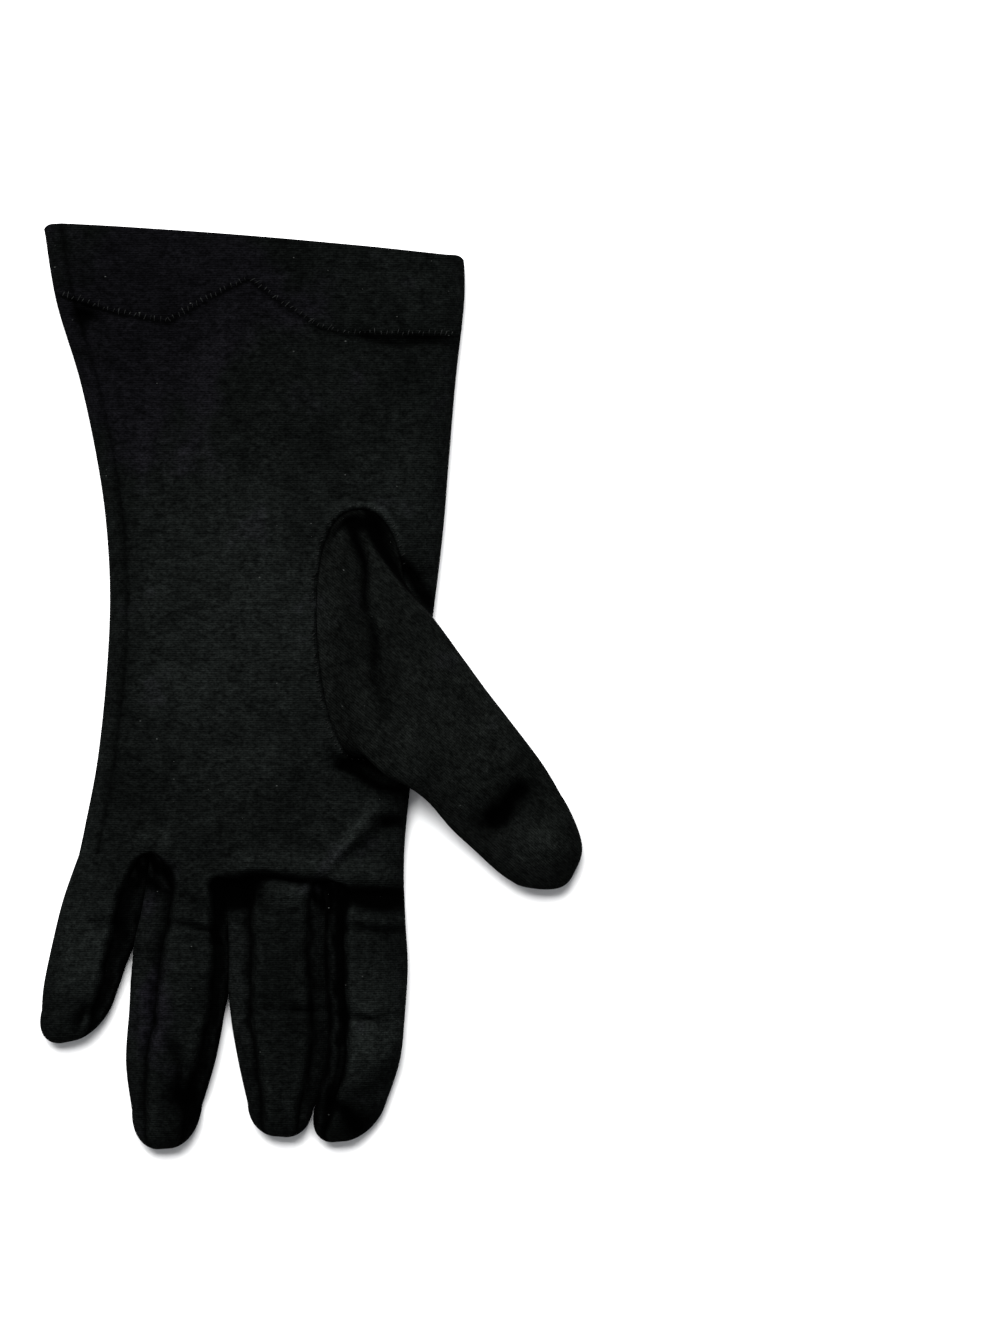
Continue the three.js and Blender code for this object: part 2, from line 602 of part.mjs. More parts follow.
function thumbSheet() {
  const rings = THUMB_STATIONS.map((station) => thumbRing(station, 0));
  for (let step = 1; step <= CAP_STEPS; step += 1) {
    rings.push(thumbRing(THUMB_ROWS.length - 1, (step / CAP_STEPS) * (Math.PI / 2)));
  }
  return gridSheet(rings.map((ring) => [...ring].reverse()));
}

// The cutter for the oval hole reaches through the palm layer only
function holeCutter() {
  const outline = [];
  for (let i = 0; i < HOLE_STEPS; i += 1) {
    const angle = (2 * Math.PI * i) / HOLE_STEPS;
    const x = OVAL_X + HOLE_SHIFT - (OVAL_HALF_WIDTH + HOLE_SIDE_GROWTH) * ovalShare(angle);
    const y = OVAL_Y + (OVAL_HALF_LENGTH + HOLE_END_GROWTH) * Math.cos(angle);
    outline.push(new THREE.Vector2(x, y));
  }
  const depth = HOLE_TOP - HOLE_FLOOR;
  const cutter = new THREE.ExtrudeGeometry(new THREE.Shape(outline), { depth, bevelEnabled: false });
  cutter.translate(0, 0, HOLE_FLOOR);
  return cutter;
}

// Cutting

const wasm = await Module();
wasm.setup();

function toManifold(geometry) {
  const bare = geometry.clone();
  bare.deleteAttribute('normal');
  bare.deleteAttribute('uv');
  const merged = bare.getIndex() ? bare : mergeVertices(bare);
  return new wasm.Manifold(new wasm.Mesh({
    numProp: 3,
    vertProperties: new Float32Array(merged.getAttribute('position').array),
    triVerts: new Uint32Array(merged.getIndex().array),
  }));
}

function cut(geometry, cutter) {
  const { vertProperties, triVerts } = toManifold(geometry).subtract(toManifold(cutter)).getMesh();
  const result = new THREE.BufferGeometry();
  result.setAttribute('position', new THREE.BufferAttribute(new Float32Array(vertProperties), 3));
  result.setIndex([...triVerts]);
  return result;
}

// Assembly

function piece(name, geometry, look) {
  geometry.computeVertexNormals();
  const mesh = new THREE.Mesh(geometry, new THREE.MeshStandardMaterial(look));
  mesh.name = name;
  return mesh;
}

const glove = new THREE.Group();
const sheets = handSheets();
const normals = sharedNormals(Object.values(sheets).flat());
const trank = thicken(joinSheets(sheets.trank), normals);
glove.add(piece('trank', cut(trank, holeCutter()), PALM_BLACK));
for (const name of STRIP_NAMES) {
  glove.add(piece(name, thicken(joinSheets(sheets[name]), normals), STRIP_BLACK));
}
const thumb = thumbSheet();
glove.add(piece('thumb', thicken(joinSheets([thumb]), sharedNormals([thumb])), PALM_BLACK));
const facing = facingSheet();
const facingWall = thicken(joinSheets([facing]), sharedNormals([facing]), -WALL - FACING_GAP);
glove.add(piece('hem_facing', facingWall, PALM_BLACK));

glove.position.set(-ORIGIN_X, -ORIGIN_Y, 0);

export default glove;
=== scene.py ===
import math

import bmesh
import bpy
import numpy as np
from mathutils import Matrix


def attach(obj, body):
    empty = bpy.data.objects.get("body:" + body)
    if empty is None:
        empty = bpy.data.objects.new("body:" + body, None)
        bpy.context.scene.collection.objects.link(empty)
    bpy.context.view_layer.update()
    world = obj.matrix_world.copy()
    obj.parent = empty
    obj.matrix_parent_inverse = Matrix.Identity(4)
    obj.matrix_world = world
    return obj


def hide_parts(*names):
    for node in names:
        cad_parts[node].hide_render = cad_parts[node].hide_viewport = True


# A black nylon dress glove for the left hand, lying palm up. Tables and heights are in millimetres,
# with +X towards the thumb, -Y towards the fingertips and +Z up. Each mesh is moved to the part's own
# origin and made metres when it is built.
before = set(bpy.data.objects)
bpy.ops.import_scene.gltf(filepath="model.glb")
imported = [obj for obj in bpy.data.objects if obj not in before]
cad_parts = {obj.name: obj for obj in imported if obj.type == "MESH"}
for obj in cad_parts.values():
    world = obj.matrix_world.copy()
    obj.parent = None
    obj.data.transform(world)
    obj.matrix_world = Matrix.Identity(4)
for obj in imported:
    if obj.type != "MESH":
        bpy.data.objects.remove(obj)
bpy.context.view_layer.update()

# Palm and back.
# The real piece is one cut of thin warp-knitted nylon, folded along the forefinger side and sewn up
# along the little-finger side. It has the fronts and backs of all four fingers, and an oval cut out for
# the thumb.

BODY = "root"
ORIGIN = np.array([0.09, -0.69, 0.0])
CLOTH = 0.7
WELD = 0.01
FLOOR_LAYER = 0.5
HAND_EDGE_HEIGHT = 6.0
FINGER_EDGE_HEIGHT = 6.8
FINGER_CROWN = 1.6
TIP_HEIGHT = 3.4
SIDE_ROUND = 5.0
BACK_SEAM_INSET = 3.0
FINGER_CLEARANCE = 0.4
CROTCH_DEPTH = 1.5
CREASE_SHARE = 0.5
TIP_BLUNT = 0.14
SEAM_RAMP = 0.075
POINTED_RAMPS = {("pinky", True): 0.22, ("ring", False): 0.13, ("ring", True): 0.08}
POINTED_RAMP_POWER = 0.6
ROOT_BLEND = 0.25
ROOT_BEND_START = 0.7
CROWN_FROM, CROWN_TO = -47.0, 128.0
OUTLINE_INSET = 0.1
TIP_INSET = 0.5
HEM_BOW = 0.5
HEM_BOW_REACH = 0.15
HEM_CORNER = 1.1
HEM_CORNER_POWER = 7
HEM_CORNER_REACH = 0.03

COLUMNS_PER_STEP = 6
BACK_COLUMN_EVERY = 6
COLUMN_CROWDING = 0.6
HAND_ROW_COUNT = 215
HEM_ROW_AT, HEM_ROW_REACH, HEM_ROW_CROWDING = 0.13, 0.07, 1.4
FINGER_ROW_COUNT = 58
FINGER_ROW_POWER = 1.1
TIP_ROW_COUNT = 14
SIDE_COUNT = 12

# Hem edge to finger roots: left x, left y, right x, right y, crown
HAND_ROWS = np.array([
    (-74.8, 129.3, 42.3, 120.6, 5.4),
    (-71.4, 108.4, 42.4, 108.0, 5.2),
    (-64.7, 86.0, 40.0, 86.0, 4.6),
    (-59.9, 63.6, 38.1, 63.6, 3.8),
    (-57.3, 45.0, 36.6, 45.0, 3.8),
    (-56.3, 24.4, 34.2, 24.4, 3.8),
    (-57.4, 2.0, 31.2, 2.0, 4.0),
    (-59.8, -20.4, 28.0, -22.0, 4.0),
    (-63.2, -38.5, 25.8, -42.5, 3.4),
    (-65.0, -47.0, 25.5, -55.7, 2.6),
])

# Where the slits between the fingers begin
CROTCHES = {
    "pinky_ring": (-44.5, -45.6),
    "ring_middle": (-24.1, -52.9),
    "middle_index": (5.0, -53.5),
}

# Each finger from root to tip: left x, left y, right x, right y, left seam, right seam
FINGERS = {
    "pinky": {
        "steps": 4,
        "tip": (-68.0, -99.4),
        "rows": np.array([
            (-65.0, -47.0, -44.5, -45.6, 5.0, 7.0),
            (-69.4, -59.6, -46.5, -58.5, 5.0, 7.0),
            (-72.5, -72.2, -49.3, -69.4, 5.0, 6.6),
            (-74.8, -83.4, -52.6, -79.8, 4.5, 5.8),
            (-75.4, -90.6, -54.9, -86.4, 4.0, 5.0),
        ]),
    },
    "ring": {
        "steps": 4,
        "tip": (-41.2, -129.4),
        "rows": np.array([
            (-44.5, -45.6, -24.1, -52.9, 7.0, 4.0),
            (-46.8, -61.0, -23.2, -64.6, 7.4, 4.0),
            (-50.2, -76.4, -23.2, -77.8, 8.0, 4.0),
            (-51.2, -90.4, -24.4, -91.0, 7.6, 4.0),
            (-52.1, -105.0, -26.9, -104.4, 6.0, 4.8),
            (-50.4, -118.4, -30.7, -117.0, 4.0, 4.6),
        ]),
    },
    "middle": {
        "steps": 5,
        "tip": (-9.0, -126.0),
        "rows": np.array([
            (-24.1, -52.9, 5.0, -53.5, 6.0, 4.6),
            (-23.0, -65.2, 4.2, -65.8, 6.0, 4.8),
            (-22.7, -77.8, 4.2, -78.7, 6.0, 4.8),
            (-22.8, -91.0, 5.0, -92.1, 5.8, 4.8),
            (-20.7, -104.4, 4.2, -105.0, 5.4, 4.6),
            (-18.0, -116.5, 0.2, -117.9, 4.0, 3.6),
        ]),
    },
    "index": {
        "steps": 4,
        "tip": (7.8, -127.4),
        "rows": np.array([
            (5.0, -53.5, 25.5, -55.7, 4.6, 5.0),
            (4.2, -65.8, 26.0, -66.6, 4.9, 5.0),
            (4.2, -78.7, 26.6, -78.1, 4.9, 5.0),
            (5.2, -92.1, 25.8, -91.6, 4.4, 5.0),
            (4.6, -105.0, 24.4, -104.4, 4.8, 4.6),
            (0.8, -118.2, 20.4, -116.5, 5.0, 4.0),
        ]),
    },
}

# Folds, creases and dents: from x, y to x, y, with width and height; below 0 is a valley, also painted darker
# as shade, above 0 a ridge painted lighter
FOLDS = {
    "roll over middle": (-22.4, -49.8, 5.0, -49.6, 4.0, 1.2),
    "step under middle roll": (-24.0, -53.6, 4.5, -54.0, 1.5, -2.6),
    "block at middle root, upper": (-25.0, -56.2, -14.4, -56.4, 2.7, -3.2),
    "block at middle root, lower": (-25.0, -59.8, -15.2, -60.2, 2.4, -2.8),
    "patch at middle root": (-11.0, -57.0, -3.6, -57.2, 2.2, 0.9),
    "pocket at middle root, index side": (3.6, -56.5, 6.4, -62.0, 2.6, -2.6),
    "roll over index": (8.0, -52.4, 22.0, -52.0, 3.0, 1.2),
    "step under index roll": (7.6, -57.2, 25.8, -56.8, 1.6, -2.2),
    "pocket under index roll": (8.6, -60.0, 25.8, -59.6, 2.5, -2.8),
    "ridge under index pocket": (10.5, -65.0, 25.0, -64.8, 1.0, 0.8),
    "diagonal ridge": (5.4, -49.5, 18.8, -34.0, 1.7, 2.1),
    "valley beside ridge": (9.0, -48.6, 19.4, -38.6, 1.6, -1.0),
    "notch at palm edge": (19.2, -37.2, 26.0, -37.4, 2.0, -2.4),
    "little crotch tent": (-51.0, -41.6, -37.0, -43.4, 4.0, 0.9),
    "little crotch pocket": (-46.0, -50.4, -39.6, -55.6, 3.6, -1.8),
    "little crotch, ring side": (-39.4, -50.0, -38.2, -57.0, 1.6, -1.6),
    "patch under little crotch": (-45.6, -63.2, -41.6, -63.8, 2.0, 0.7),
    "little crease": (-63.0, -66.4, -55.0, -66.4, 1.8, -0.8),
    "ring root hollow": (-37.0, -59.0, -30.0, -63.0, 3.0, -0.7),
    "ring crease": (-40.0, -66.0, -27.4, -67.6, 0.9, -1.7),
    "ring ridge over crease": (-38.0, -64.2, -29.0, -65.0, 0.8, 0.6),
    "ring ridge under crease": (-38.0, -68.4, -27.4, -69.4, 0.8, 0.6),
    "ring crease, second": (-36.0, -70.4, -25.0, -69.8, 1.2, -0.9),
    "ring crease, lower": (-44.5, -93.2, -36.0, -92.8, 0.9, -0.8),
    "ring smear": (-39.4, -98.0, -35.6, -114.5, 1.8, -1.3),
    "ring tip, shaded hollow": (-37.4, -113.5, -33.2, -119.5, 2.4, -2.6),
    "middle crease": (-19.4, -91.1, -6.0, -90.4, 1.0, -0.8),
    "middle crease, deep end": (-6.0, -89.6, 1.0, -89.8, 0.9, -1.9),
    "middle crease, upper": (-16.0, -62.6, -3.0, -62.2, 1.0, -0.7),
    "ridge along middle seam": (0.2, -60.0, 0.6, -84.0, 0.8, 0.8),
    "ridge along index seam": (9.0, -101.0, 7.4, -118.0, 0.7, 0.9),
    "index crease": (9.8, -92.1, 24.9, -92.1, 1.6, -0.8),
    "index crease, fine": (8.0, -92.3, 18.0, -92.3, 0.8, -1.0),
    "index crease, upper": (9.0, -68.4, 24.0, -67.8, 1.2, -1.3),
    "index tip, shaded hollow": (7.2, -116.5, 11.5, -124.0, 2.2, -2.2),
    "index tip dent": (24.0, -105.0, 10.0, -117.5, 3.4, -1.2),
    "index tip dent, deep": (16.0, -121.0, 10.0, -124.0, 3.6, -1.6),
    "pinky tip dent": (-72.0, -88.0, -64.0, -89.5, 3.0, -0.6),
    "pinky tip, shaded hollow": (-62.2, -88.0, -65.4, -95.5, 1.8, -1.8),
    "pocket below thumb": (8.2, -20.4, 22.0, -25.0, 3.8, -3.0),
    "pocket below thumb, deep": (12.5, -22.4, 25.4, -27.0, 3.3, -2.8),
    "pocket below thumb, fringe": (6.4, -22.8, 11.0, -23.4, 1.1, -1.1),
    "pocket above thumb": (23.8, 35.6, 35.4, 20.8, 1.9, -2.8),
    "dimple under hem": (-65.6, 104.0, -60.4, 102.4, 2.3, -2.6),
    "band under hem": (14.5, 96.6, 40.5, 96.0, 1.3, -1.7),
    "wrist drag": (-22.0, 62.0, 6.0, 74.0, 3.0, -0.3),
    "heel drag": (-56.0, -6.0, -30.0, -14.0, 3.6, -0.4),
    "palm drag": (-2.0, -26.0, -4.0, -44.0, 3.4, -0.3),
}
# Painted shade and highlight from the folds: a valley this deep is painted full shade, ridges are painted
# lighter up to a cap, the thumb seam's lip gets a painted highlight, and the palm's painted shade fades in
# between two heights so the lower layer gets none
VALLEY_FOR_DARK = 2.0
DARK_FROM_HEIGHT, DARK_FULL_HEIGHT = 1.5, 4.5
RIDGE_HIGHLIGHT_CAP = 0.9
LIP_HIGHLIGHT = 1.1
FOLD_END_FADE = 0.5

# Sine waves, each by how far x and y run for one radian, its start and its share
FOLD_WANDER = 0.55
WANDER_IN_X = ((math.inf, 3.1, 0.7, 1.0), (2.3, -4.7, 0.0, 0.6))
WANDER_IN_Y = ((3.7, math.inf, 2.1, 1.0), (5.1, 2.9, 0.0, 0.6))
SLACK_HEIGHT = 0.11
SLACK_WAVES = ((5.3, 11.0, 0.0, 1.0), (-14.0, 6.1, 1.3, 1.0), (3.7, 3.7, 0.6, 1.0))
SEAM_WANDER = 0.38
SEAM_WAVES = ((9.0, 2.3, 0.0, 1.0), (7.0, 1.1, 2.0, 0.6))
CRINKLE_WAVES = ((0.55, 1.9, 0.0, 1.0), (1.3, -2.6, 0.8, 1.0))

# The stitched hem line on the palm: share of the width, depth below the hem edge
HEM_LINE = np.array([
    (0.0, 19.3), (0.145, 24.0), (0.265, 25.5), (0.375, 18.2), (0.48, 11.6),
    (0.541, 16.8), (0.64, 23.5), (0.708, 24.8), (1.0, 22.5),
])
HEM_RAISE = 0.35
HEM_RAISE_FROM, HEM_RAISE_TO = -0.4, 1.2
HEM_GROOVE = 0.5
HEM_GROOVE_WIDTH = 0.7
HEM_PUCKER = 0.25
# Painted shade in the hem's stitched groove
HEM_DARK = 0.8
STITCH_PITCH = 1.5

# The oval that the thumb is set into
OVAL_CENTRE = (13.6, 15.1)
OVAL_HALF_LENGTH = 34.4
OVAL_HALF_WIDTH = 12.0
OVAL_POWER = 0.8
OVAL_EGG = 0.15
OVAL_LIP = 0.6
OVAL_LIP_AWAY = 1.3
OVAL_LIP_WIDTH = 0.8
OVAL_GROOVE = 0.6
OVAL_GROOVE_WIDTH = 0.6
OVAL_PUCKER = 0.2
OVAL_SEAM_REACH = 6.0
# Painted shade in the thumb seam's groove
OVAL_DARK = 0.9
OVAL_SAMPLES = 240

# How much of the lip shows: share of the way round from the hem end over the palm side, amount
OVAL_LIP_SHARES = np.array([
    (0.0, 1.0), (0.1, 1.0), (0.16, 0.5), (0.25, 0.2), (0.36, 0.3), (0.42, 1.0), (0.47, 0.7), (0.52, 0.0),
    (0.84, 0.0), (0.9, 0.6), (0.96, 1.0), (1.0, 1.0),
])

# The seam up the little-finger side, and the seams along the fingers
SIDE_SEAM_INSET = 4.9
SIDE_SEAM_GROOVE = 0.35
SIDE_SEAM_WIDTH = 0.9
# Painted shade in the side seam's groove
SIDE_SEAM_DARK = 0.6
SEAM_START = 0.04
FINGER_GROOVE = 1.5
FINGER_GROOVE_WIDTH = 0.95
FINGER_RIDGE = 0.35
FINGER_RIDGE_AWAY = 2.3
# Painted shade beside the finger seams, and a painted highlight on the seam allowance's ridge
FINGER_DARK_WIDTH = 1.05
SEAM_RIDGE_HIGHLIGHT = 0.3

# Painted shade along each finger's seams and over its strips, and painted light on the strips' crinkles, on
# its left and right
SEAM_SHADE = {"pinky": (0, 1.0), "ring": (0.75, 1.0), "middle": (0.8, 0.9), "index": (1.0, 0)}
STRIP_SHADE = {"pinky": (0, 0.9), "ring": (-0.1, 0.9), "middle": (-0.15, 0.3), "index": (0.97, 0)}
CRINKLE_LIGHT = {"pinky": (0, 0.75), "ring": (0.75, 0), "middle": (0, 0.5), "index": (0.25, 0)}
# A paler streak painted into each strip's shade, painted shade over the strips near the finger roots, and how
# the folds' painted shade fades round a finger's outer side
STRIP_LIT_STREAK = 0.75
STREAK_AWAY = 2.7
STREAK_WIDTH = 0.6
STRIP_ROOT_SHADE = 0.9
STRIP_ROOT_FROM, STRIP_ROOT_TO = 0.1, 0.2
STRIP_GIRTH = 9.0
SIDE_DARK_FROM, SIDE_DARK_TO = 0.4, 0.7

# Spots made paler or darker: x, y, reach across, reach along, amount; below 0 darker. They are worn nap and
# painted light and shade together: the palm and thumb partly painted light, the little-finger edge painted
# shade
NAP_AND_LIGHTING_BASE = 0.45
NAP_AND_LIGHTING_SPOTS = {
    "palm": (-20.0, 14.0, 40.0, 52.0, 0.5),
    "cuff": (-40.0, 104.0, 50.0, 26.0, -0.15),
    "cuff, thumb side": (24.0, 112.0, 18.0, 12.0, 0.14),
    "under the hem": (-12.0, 92.0, 18.0, 9.0, 0.16),
    "wrist, thumb side": (26.0, 58.0, 16.0, 24.0, 0.16),
    "pinky edge": (-52.5, 25.0, 4.0, 45.0, -0.24),
    "palm beside ridge": (10.0, -40.0, 13.0, 9.0, 0.1),
    "thumb, set in": (10.0, 16.0, 7.0, 26.0, -0.45),
    "thumb": (40.0, -12.0, 18.0, 22.0, 0.34),
    "thumb tip": (64.0, -42.0, 10.0, 9.0, 0.36),
    "pinky": (-63.0, -72.0, 9.0, 24.0, 0.6),
    "ring": (-36.0, -80.0, 8.0, 18.0, 0.25),
    "ring strip": (-47.0, -84.0, 4.0, 22.0, 0.3),
    "ring tip": (-36.0, -118.0, 6.0, 13.0, -0.32),
    "ring tip, end": (-41.5, -123.0, 5.0, 4.0, 0.3),
    "middle root": (-8.0, -58.5, 6.0, 3.0, 0.3),
    "middle": (-8.0, -78.0, 8.0, 18.0, -0.08),
    "middle strip": (-20.5, -84.0, 3.0, 26.0, 0.38),
    "index pad": (17.0, -97.0, 9.0, 20.0, 0.7),
    "index tip": (15.0, -121.0, 10.0, 9.0, -0.32),
}

# Where the black dye has faded towards purple, in the same form
FADED = {
    "cuff": (-44.0, 112.0, 44.0, 34.0, 1.1),
    "wrist": (-50.0, 72.0, 22.0, 24.0, 0.5),
    "ring": (-44.0, -86.0, 6.0, 22.0, 0.9),
}

# How far down neighbouring fingers touch; there the strips lap one over the other
TOUCH_UNTIL = {"pinky_ring": -75.6, "ring_middle": -89.6, "middle_index": -119.0}
TOUCH_BELOW, TOUCH_ABOVE = 3.0, 6.0
SIDE_OVERLAP = 0.15
SIDE_LEAN = 1.2


def mix(a, b, share):
    """a + (b - a) * share."""
    return a + (b - a) * share


def ease(value, start, end):
    """0 before start, 1 after end, and 3t^2 - 2t^3 between them."""
    t = np.clip((np.asarray(value, float) - start) / (end - start), 0, 1)
    return t * t * (3 - 2 * t)


def bell(distance, width):
    """exp(-(distance / width)^2)."""
    return np.exp(-((distance / width) ** 2))


def quarter_arch(value, end):
    """0 at 0 and 1 from end on, rising as a quarter of a circle."""
    t = np.clip(np.asarray(value, float) / end, 0, 1)
    return np.sqrt(1 - (1 - t) ** 2)


def smooth_rows(table, place):
    """A table's columns at places that count its rows from 0, on the Catmull-Rom cubic through the rows."""
    last = len(table) - 1
    i = np.clip(np.floor(place).astype(int), 0, last - 1)
    f = (place - i)[..., None]
    before, start = table[np.maximum(i - 1, 0)], table[i]
    end, after = table[i + 1], table[np.minimum(i + 2, last)]
    slope_in, slope_out = (end - before) / 2, (after - start) / 2
    bend = 2 * start - 2 * end + slope_in + slope_out
    lean = 3 * end - 3 * start - 2 * slope_in - slope_out
    return start + slope_in * f + lean * f**2 + bend * f**3


def straight(xs, ys, at):
    """ys at the places 'at' of xs, on straight lines that run on past both ends."""
    order = np.argsort(xs)
    xs, ys = np.asarray(xs)[order], np.asarray(ys)[order]
    i = np.clip(np.searchsorted(xs, at) - 1, 0, len(xs) - 2)
    return ys[i] + (at - xs[i]) / (xs[i + 1] - xs[i]) * (ys[i + 1] - ys[i])


def waves(table, x, y):
    """Sum of sine waves over the plane, each from its row of a table of waves."""
    return sum(share * np.sin(x / run_x + y / run_y + start) for run_x, run_y, start, share in table)


def run_along(line):
    """Length of a line of points from its start to each of them."""
    return np.concatenate([[0], np.cumsum(np.linalg.norm(np.diff(line, axis=0), axis=1))])


def drawn_up(run, amount):
    """From 1 to 1 - 2 * amount and back once in each stitch of a seam, as a cosine."""
    return 1 - amount + amount * np.cos(2 * np.pi * run / STITCH_PITCH)


def fold_relief(folds, x, y):
    """Sum of the folds: each one's height, less towards its ends, times the bell of the distance from its
    line, which wanders by sine waves."""
    x, y = x + FOLD_WANDER * waves(WANDER_IN_X, x, y), y + FOLD_WANDER * waves(WANDER_IN_Y, x, y)
    relief = np.zeros(np.shape(x))
    for x1, y1, x2, y2, width, height in folds.values():
        run = np.array([x2 - x1, y2 - y1])
        share = np.clip(((x - x1) * run[0] + (y - y1) * run[1]) / (run @ run), 0, 1)
        distance = np.hypot(x - x1 - share * run[0], y - y1 - share * run[1])
        relief = relief + height * (1 - FOLD_END_FADE * (2 * share - 1) ** 4) * bell(distance, width)
    return relief


def valley_dark(x, y):
    """How deep in a valley of the palm's folds a point lies, as painted shade; below 0, a painted highlight
    on a ridge.
    """
    return -fold_relief(FOLDS, x, y) / VALLEY_FOR_DARK


def slack(x, y):
    """Low uneven swells of slack cloth: three crossing sine waves, 16 to 35 mm long."""
    return SLACK_HEIGHT * waves(SLACK_WAVES, x, y)


def oval_width(angle):
    """Sine of the angle to a power, wider by the cosine at the hem end."""
    lift = np.sin(angle)
    return np.sign(lift) * np.abs(lift) ** OVAL_POWER * (1 + OVAL_EGG * np.cos(angle))


def on_oval(angle):
    """The oval's point at an angle from its hem end: its width aside, and the cosine along it."""
    x = OVAL_CENTRE[0] - OVAL_HALF_WIDTH * oval_width(angle)
    return np.stack([x, OVAL_CENTRE[1] + OVAL_HALF_LENGTH * np.cos(angle)], -1)


oval_line = on_oval(np.linspace(0, 2 * np.pi, OVAL_SAMPLES, endpoint=False))
oval_run = run_along(oval_line)


def nearest_on_oval(x, y):
    """Index of the nearest sample of the oval, and the distance to it."""
    gaps = np.hypot(x[..., None] - oval_line[:, 0], y[..., None] - oval_line[:, 1])
    index = gaps.argmin(-1)
    return index, np.take_along_axis(gaps, index[..., None], -1)[..., 0]


def inside_oval(x, y):
    """True where x is nearer the oval's long axis than its half width at that y."""
    along = np.clip((y - OVAL_CENTRE[1]) / OVAL_HALF_LENGTH, -1, 1)
    half = OVAL_HALF_WIDTH * np.sqrt(1 - along**2) ** OVAL_POWER * (1 + OVAL_EGG * along)
    return (np.abs(x - OVAL_CENTRE[0]) < half) & (np.abs(along) < 1)


def lip_profile(index, distance):
    """The lip of cloth outside the thumb seam, 0 to 1: a bell of the distance, times its share there."""
    shown = np.interp(index / OVAL_SAMPLES, OVAL_LIP_SHARES[:, 0], OVAL_LIP_SHARES[:, 1])
    return shown * bell(distance - OVAL_LIP_AWAY, OVAL_LIP_WIDTH)


def oval_seam(x, y):
    """Relief beside the thumb seam: a groove on the line and a lip outside it, drawn up at each stitch."""
    index, distance = nearest_on_oval(x, y)
    lip = OVAL_LIP * drawn_up(oval_run[index], OVAL_PUCKER) * lip_profile(index, distance)
    groove = bell(distance, OVAL_GROOVE_WIDTH)
    return np.where(distance < OVAL_SEAM_REACH, lip - OVAL_GROOVE * groove, 0), groove


def palm_edges(y):
    """Left and right edge of the hand at y."""
    left = straight(HAND_ROWS[:, 1], HAND_ROWS[:, 0], y)
    right = straight(HAND_ROWS[:, 3], HAND_ROWS[:, 2], y)
    return left, right


def hem_edge(across):
    """Height of the hem edge at a share of the width."""
    return mix(HAND_ROWS[0, 1], HAND_ROWS[0, 3], across)


def hem_depth(across):
    """Depth of the hem's stitched line below its edge at a share of the width."""
    return np.interp(across, HEM_LINE[:, 0], HEM_LINE[:, 1])


def hem_seam(x, y):
    """Relief of the hem: doubled cloth stands a little higher, and the stitches draw a groove."""
    left, right = palm_edges(y)
    across = (x - left) / (right - left)
    line = hem_edge(across) - hem_depth(across)
    slope = np.diff(HEM_LINE[:, 1]) / np.diff(HEM_LINE[:, 0])
    stretch = np.clip(np.searchsorted(HEM_LINE[:, 0], across) - 1, 0, len(slope) - 1)
    distance = (y - line) / np.hypot(1, slope[stretch] / (HAND_ROWS[0, 2] - HAND_ROWS[0, 0]))
    groove = bell(distance, HEM_GROOVE_WIDTH)
    raised = HEM_RAISE * ease(distance, HEM_RAISE_FROM, HEM_RAISE_TO)
    return raised - HEM_GROOVE * drawn_up(x, HEM_PUCKER) * groove, groove


def bare_height(x, y):
    """The palm without its folds: the edge height and a crown of 4a(1 - a) across the width."""
    left, right = palm_edges(y)
    crown = straight(HAND_ROWS[:, 1], HAND_ROWS[:, 4], np.clip(y, CROWN_FROM, CROWN_TO))
    across = np.clip((x - left) / (right - left), 0, 1)
    return HAND_EDGE_HEIGHT + crown * 4 * across * (1 - across)


def palm_height(x, y):
    """The palm with folds, slack, hem, thumb seam and the seam up the little-finger side."""
    left, _ = palm_edges(y)
    side = SIDE_SEAM_GROOVE * bell(x - left - SIDE_SEAM_INSET, SIDE_SEAM_WIDTH)
    relief = fold_relief(FOLDS, x, y) + slack(x, y) + hem_seam(x, y)[0] + oval_seam(x, y)[0]
    return bare_height(x, y) + relief - side


def palm_dark(x, y):
    """Painted shade on the palm, up to 1 in valleys and seam grooves; below 0, painted highlight on ridges
    and the lip.
    """
    left, _ = palm_edges(y)
    side = SIDE_SEAM_DARK * bell(x - left - SIDE_SEAM_INSET, SIDE_SEAM_WIDTH)
    lip = LIP_HIGHLIGHT * lip_profile(*nearest_on_oval(x, y))
    seams = HEM_DARK * hem_seam(x, y)[1] + OVAL_DARK * oval_seam(x, y)[1] + side - lip
    return np.clip(seams + valley_dark(x, y), -RIDGE_HIGHLIGHT_CAP, 1)


def round_side(top, outermost, bottom, turn):
    """From top to bottom through the outermost point: the chord and a bulge, half sine arch, half crease."""
    turn = np.asarray(turn, float)[..., None]
    crease = CREASE_SHARE * (1 - np.abs(2 * turn - 1))
    bulge = (1 - CREASE_SHARE) * np.sin(np.pi * turn) + crease
    return mix(top, bottom, turn) + (outermost - (top + bottom) / 2) * bulge


last_row = HAND_ROWS[-1]
root_start = last_row[0] + SIDE_ROUND
root_width = last_row[2] - SIDE_ROUND - root_start
crotch_points = np.array(list(CROTCHES.values()))
crotch_stops = np.concatenate([[0], (crotch_points[:, 0] - root_start) / root_width, [1]])
crotch_offsets = crotch_points[:, 1] - mix(last_row[1], last_row[3], crotch_stops[1:-1])


def shares(steps):
    """Places from 0 to 1 across a finger, closer together beside its seams."""
    s = np.linspace(0, 1, steps * COLUMNS_PER_STEP + 1)
    return s - COLUMN_CROWDING * np.sin(2 * np.pi * s) / (2 * np.pi)


hand_columns = np.concatenate([[0]] + [
    mix(crotch_stops[i], crotch_stops[i + 1], shares(finger["steps"])[1:])
    for i, finger in enumerate(FINGERS.values())
])
back_columns = hand_columns[::-BACK_COLUMN_EVERY]
turns = np.linspace(0, 1, SIDE_COUNT + 1)


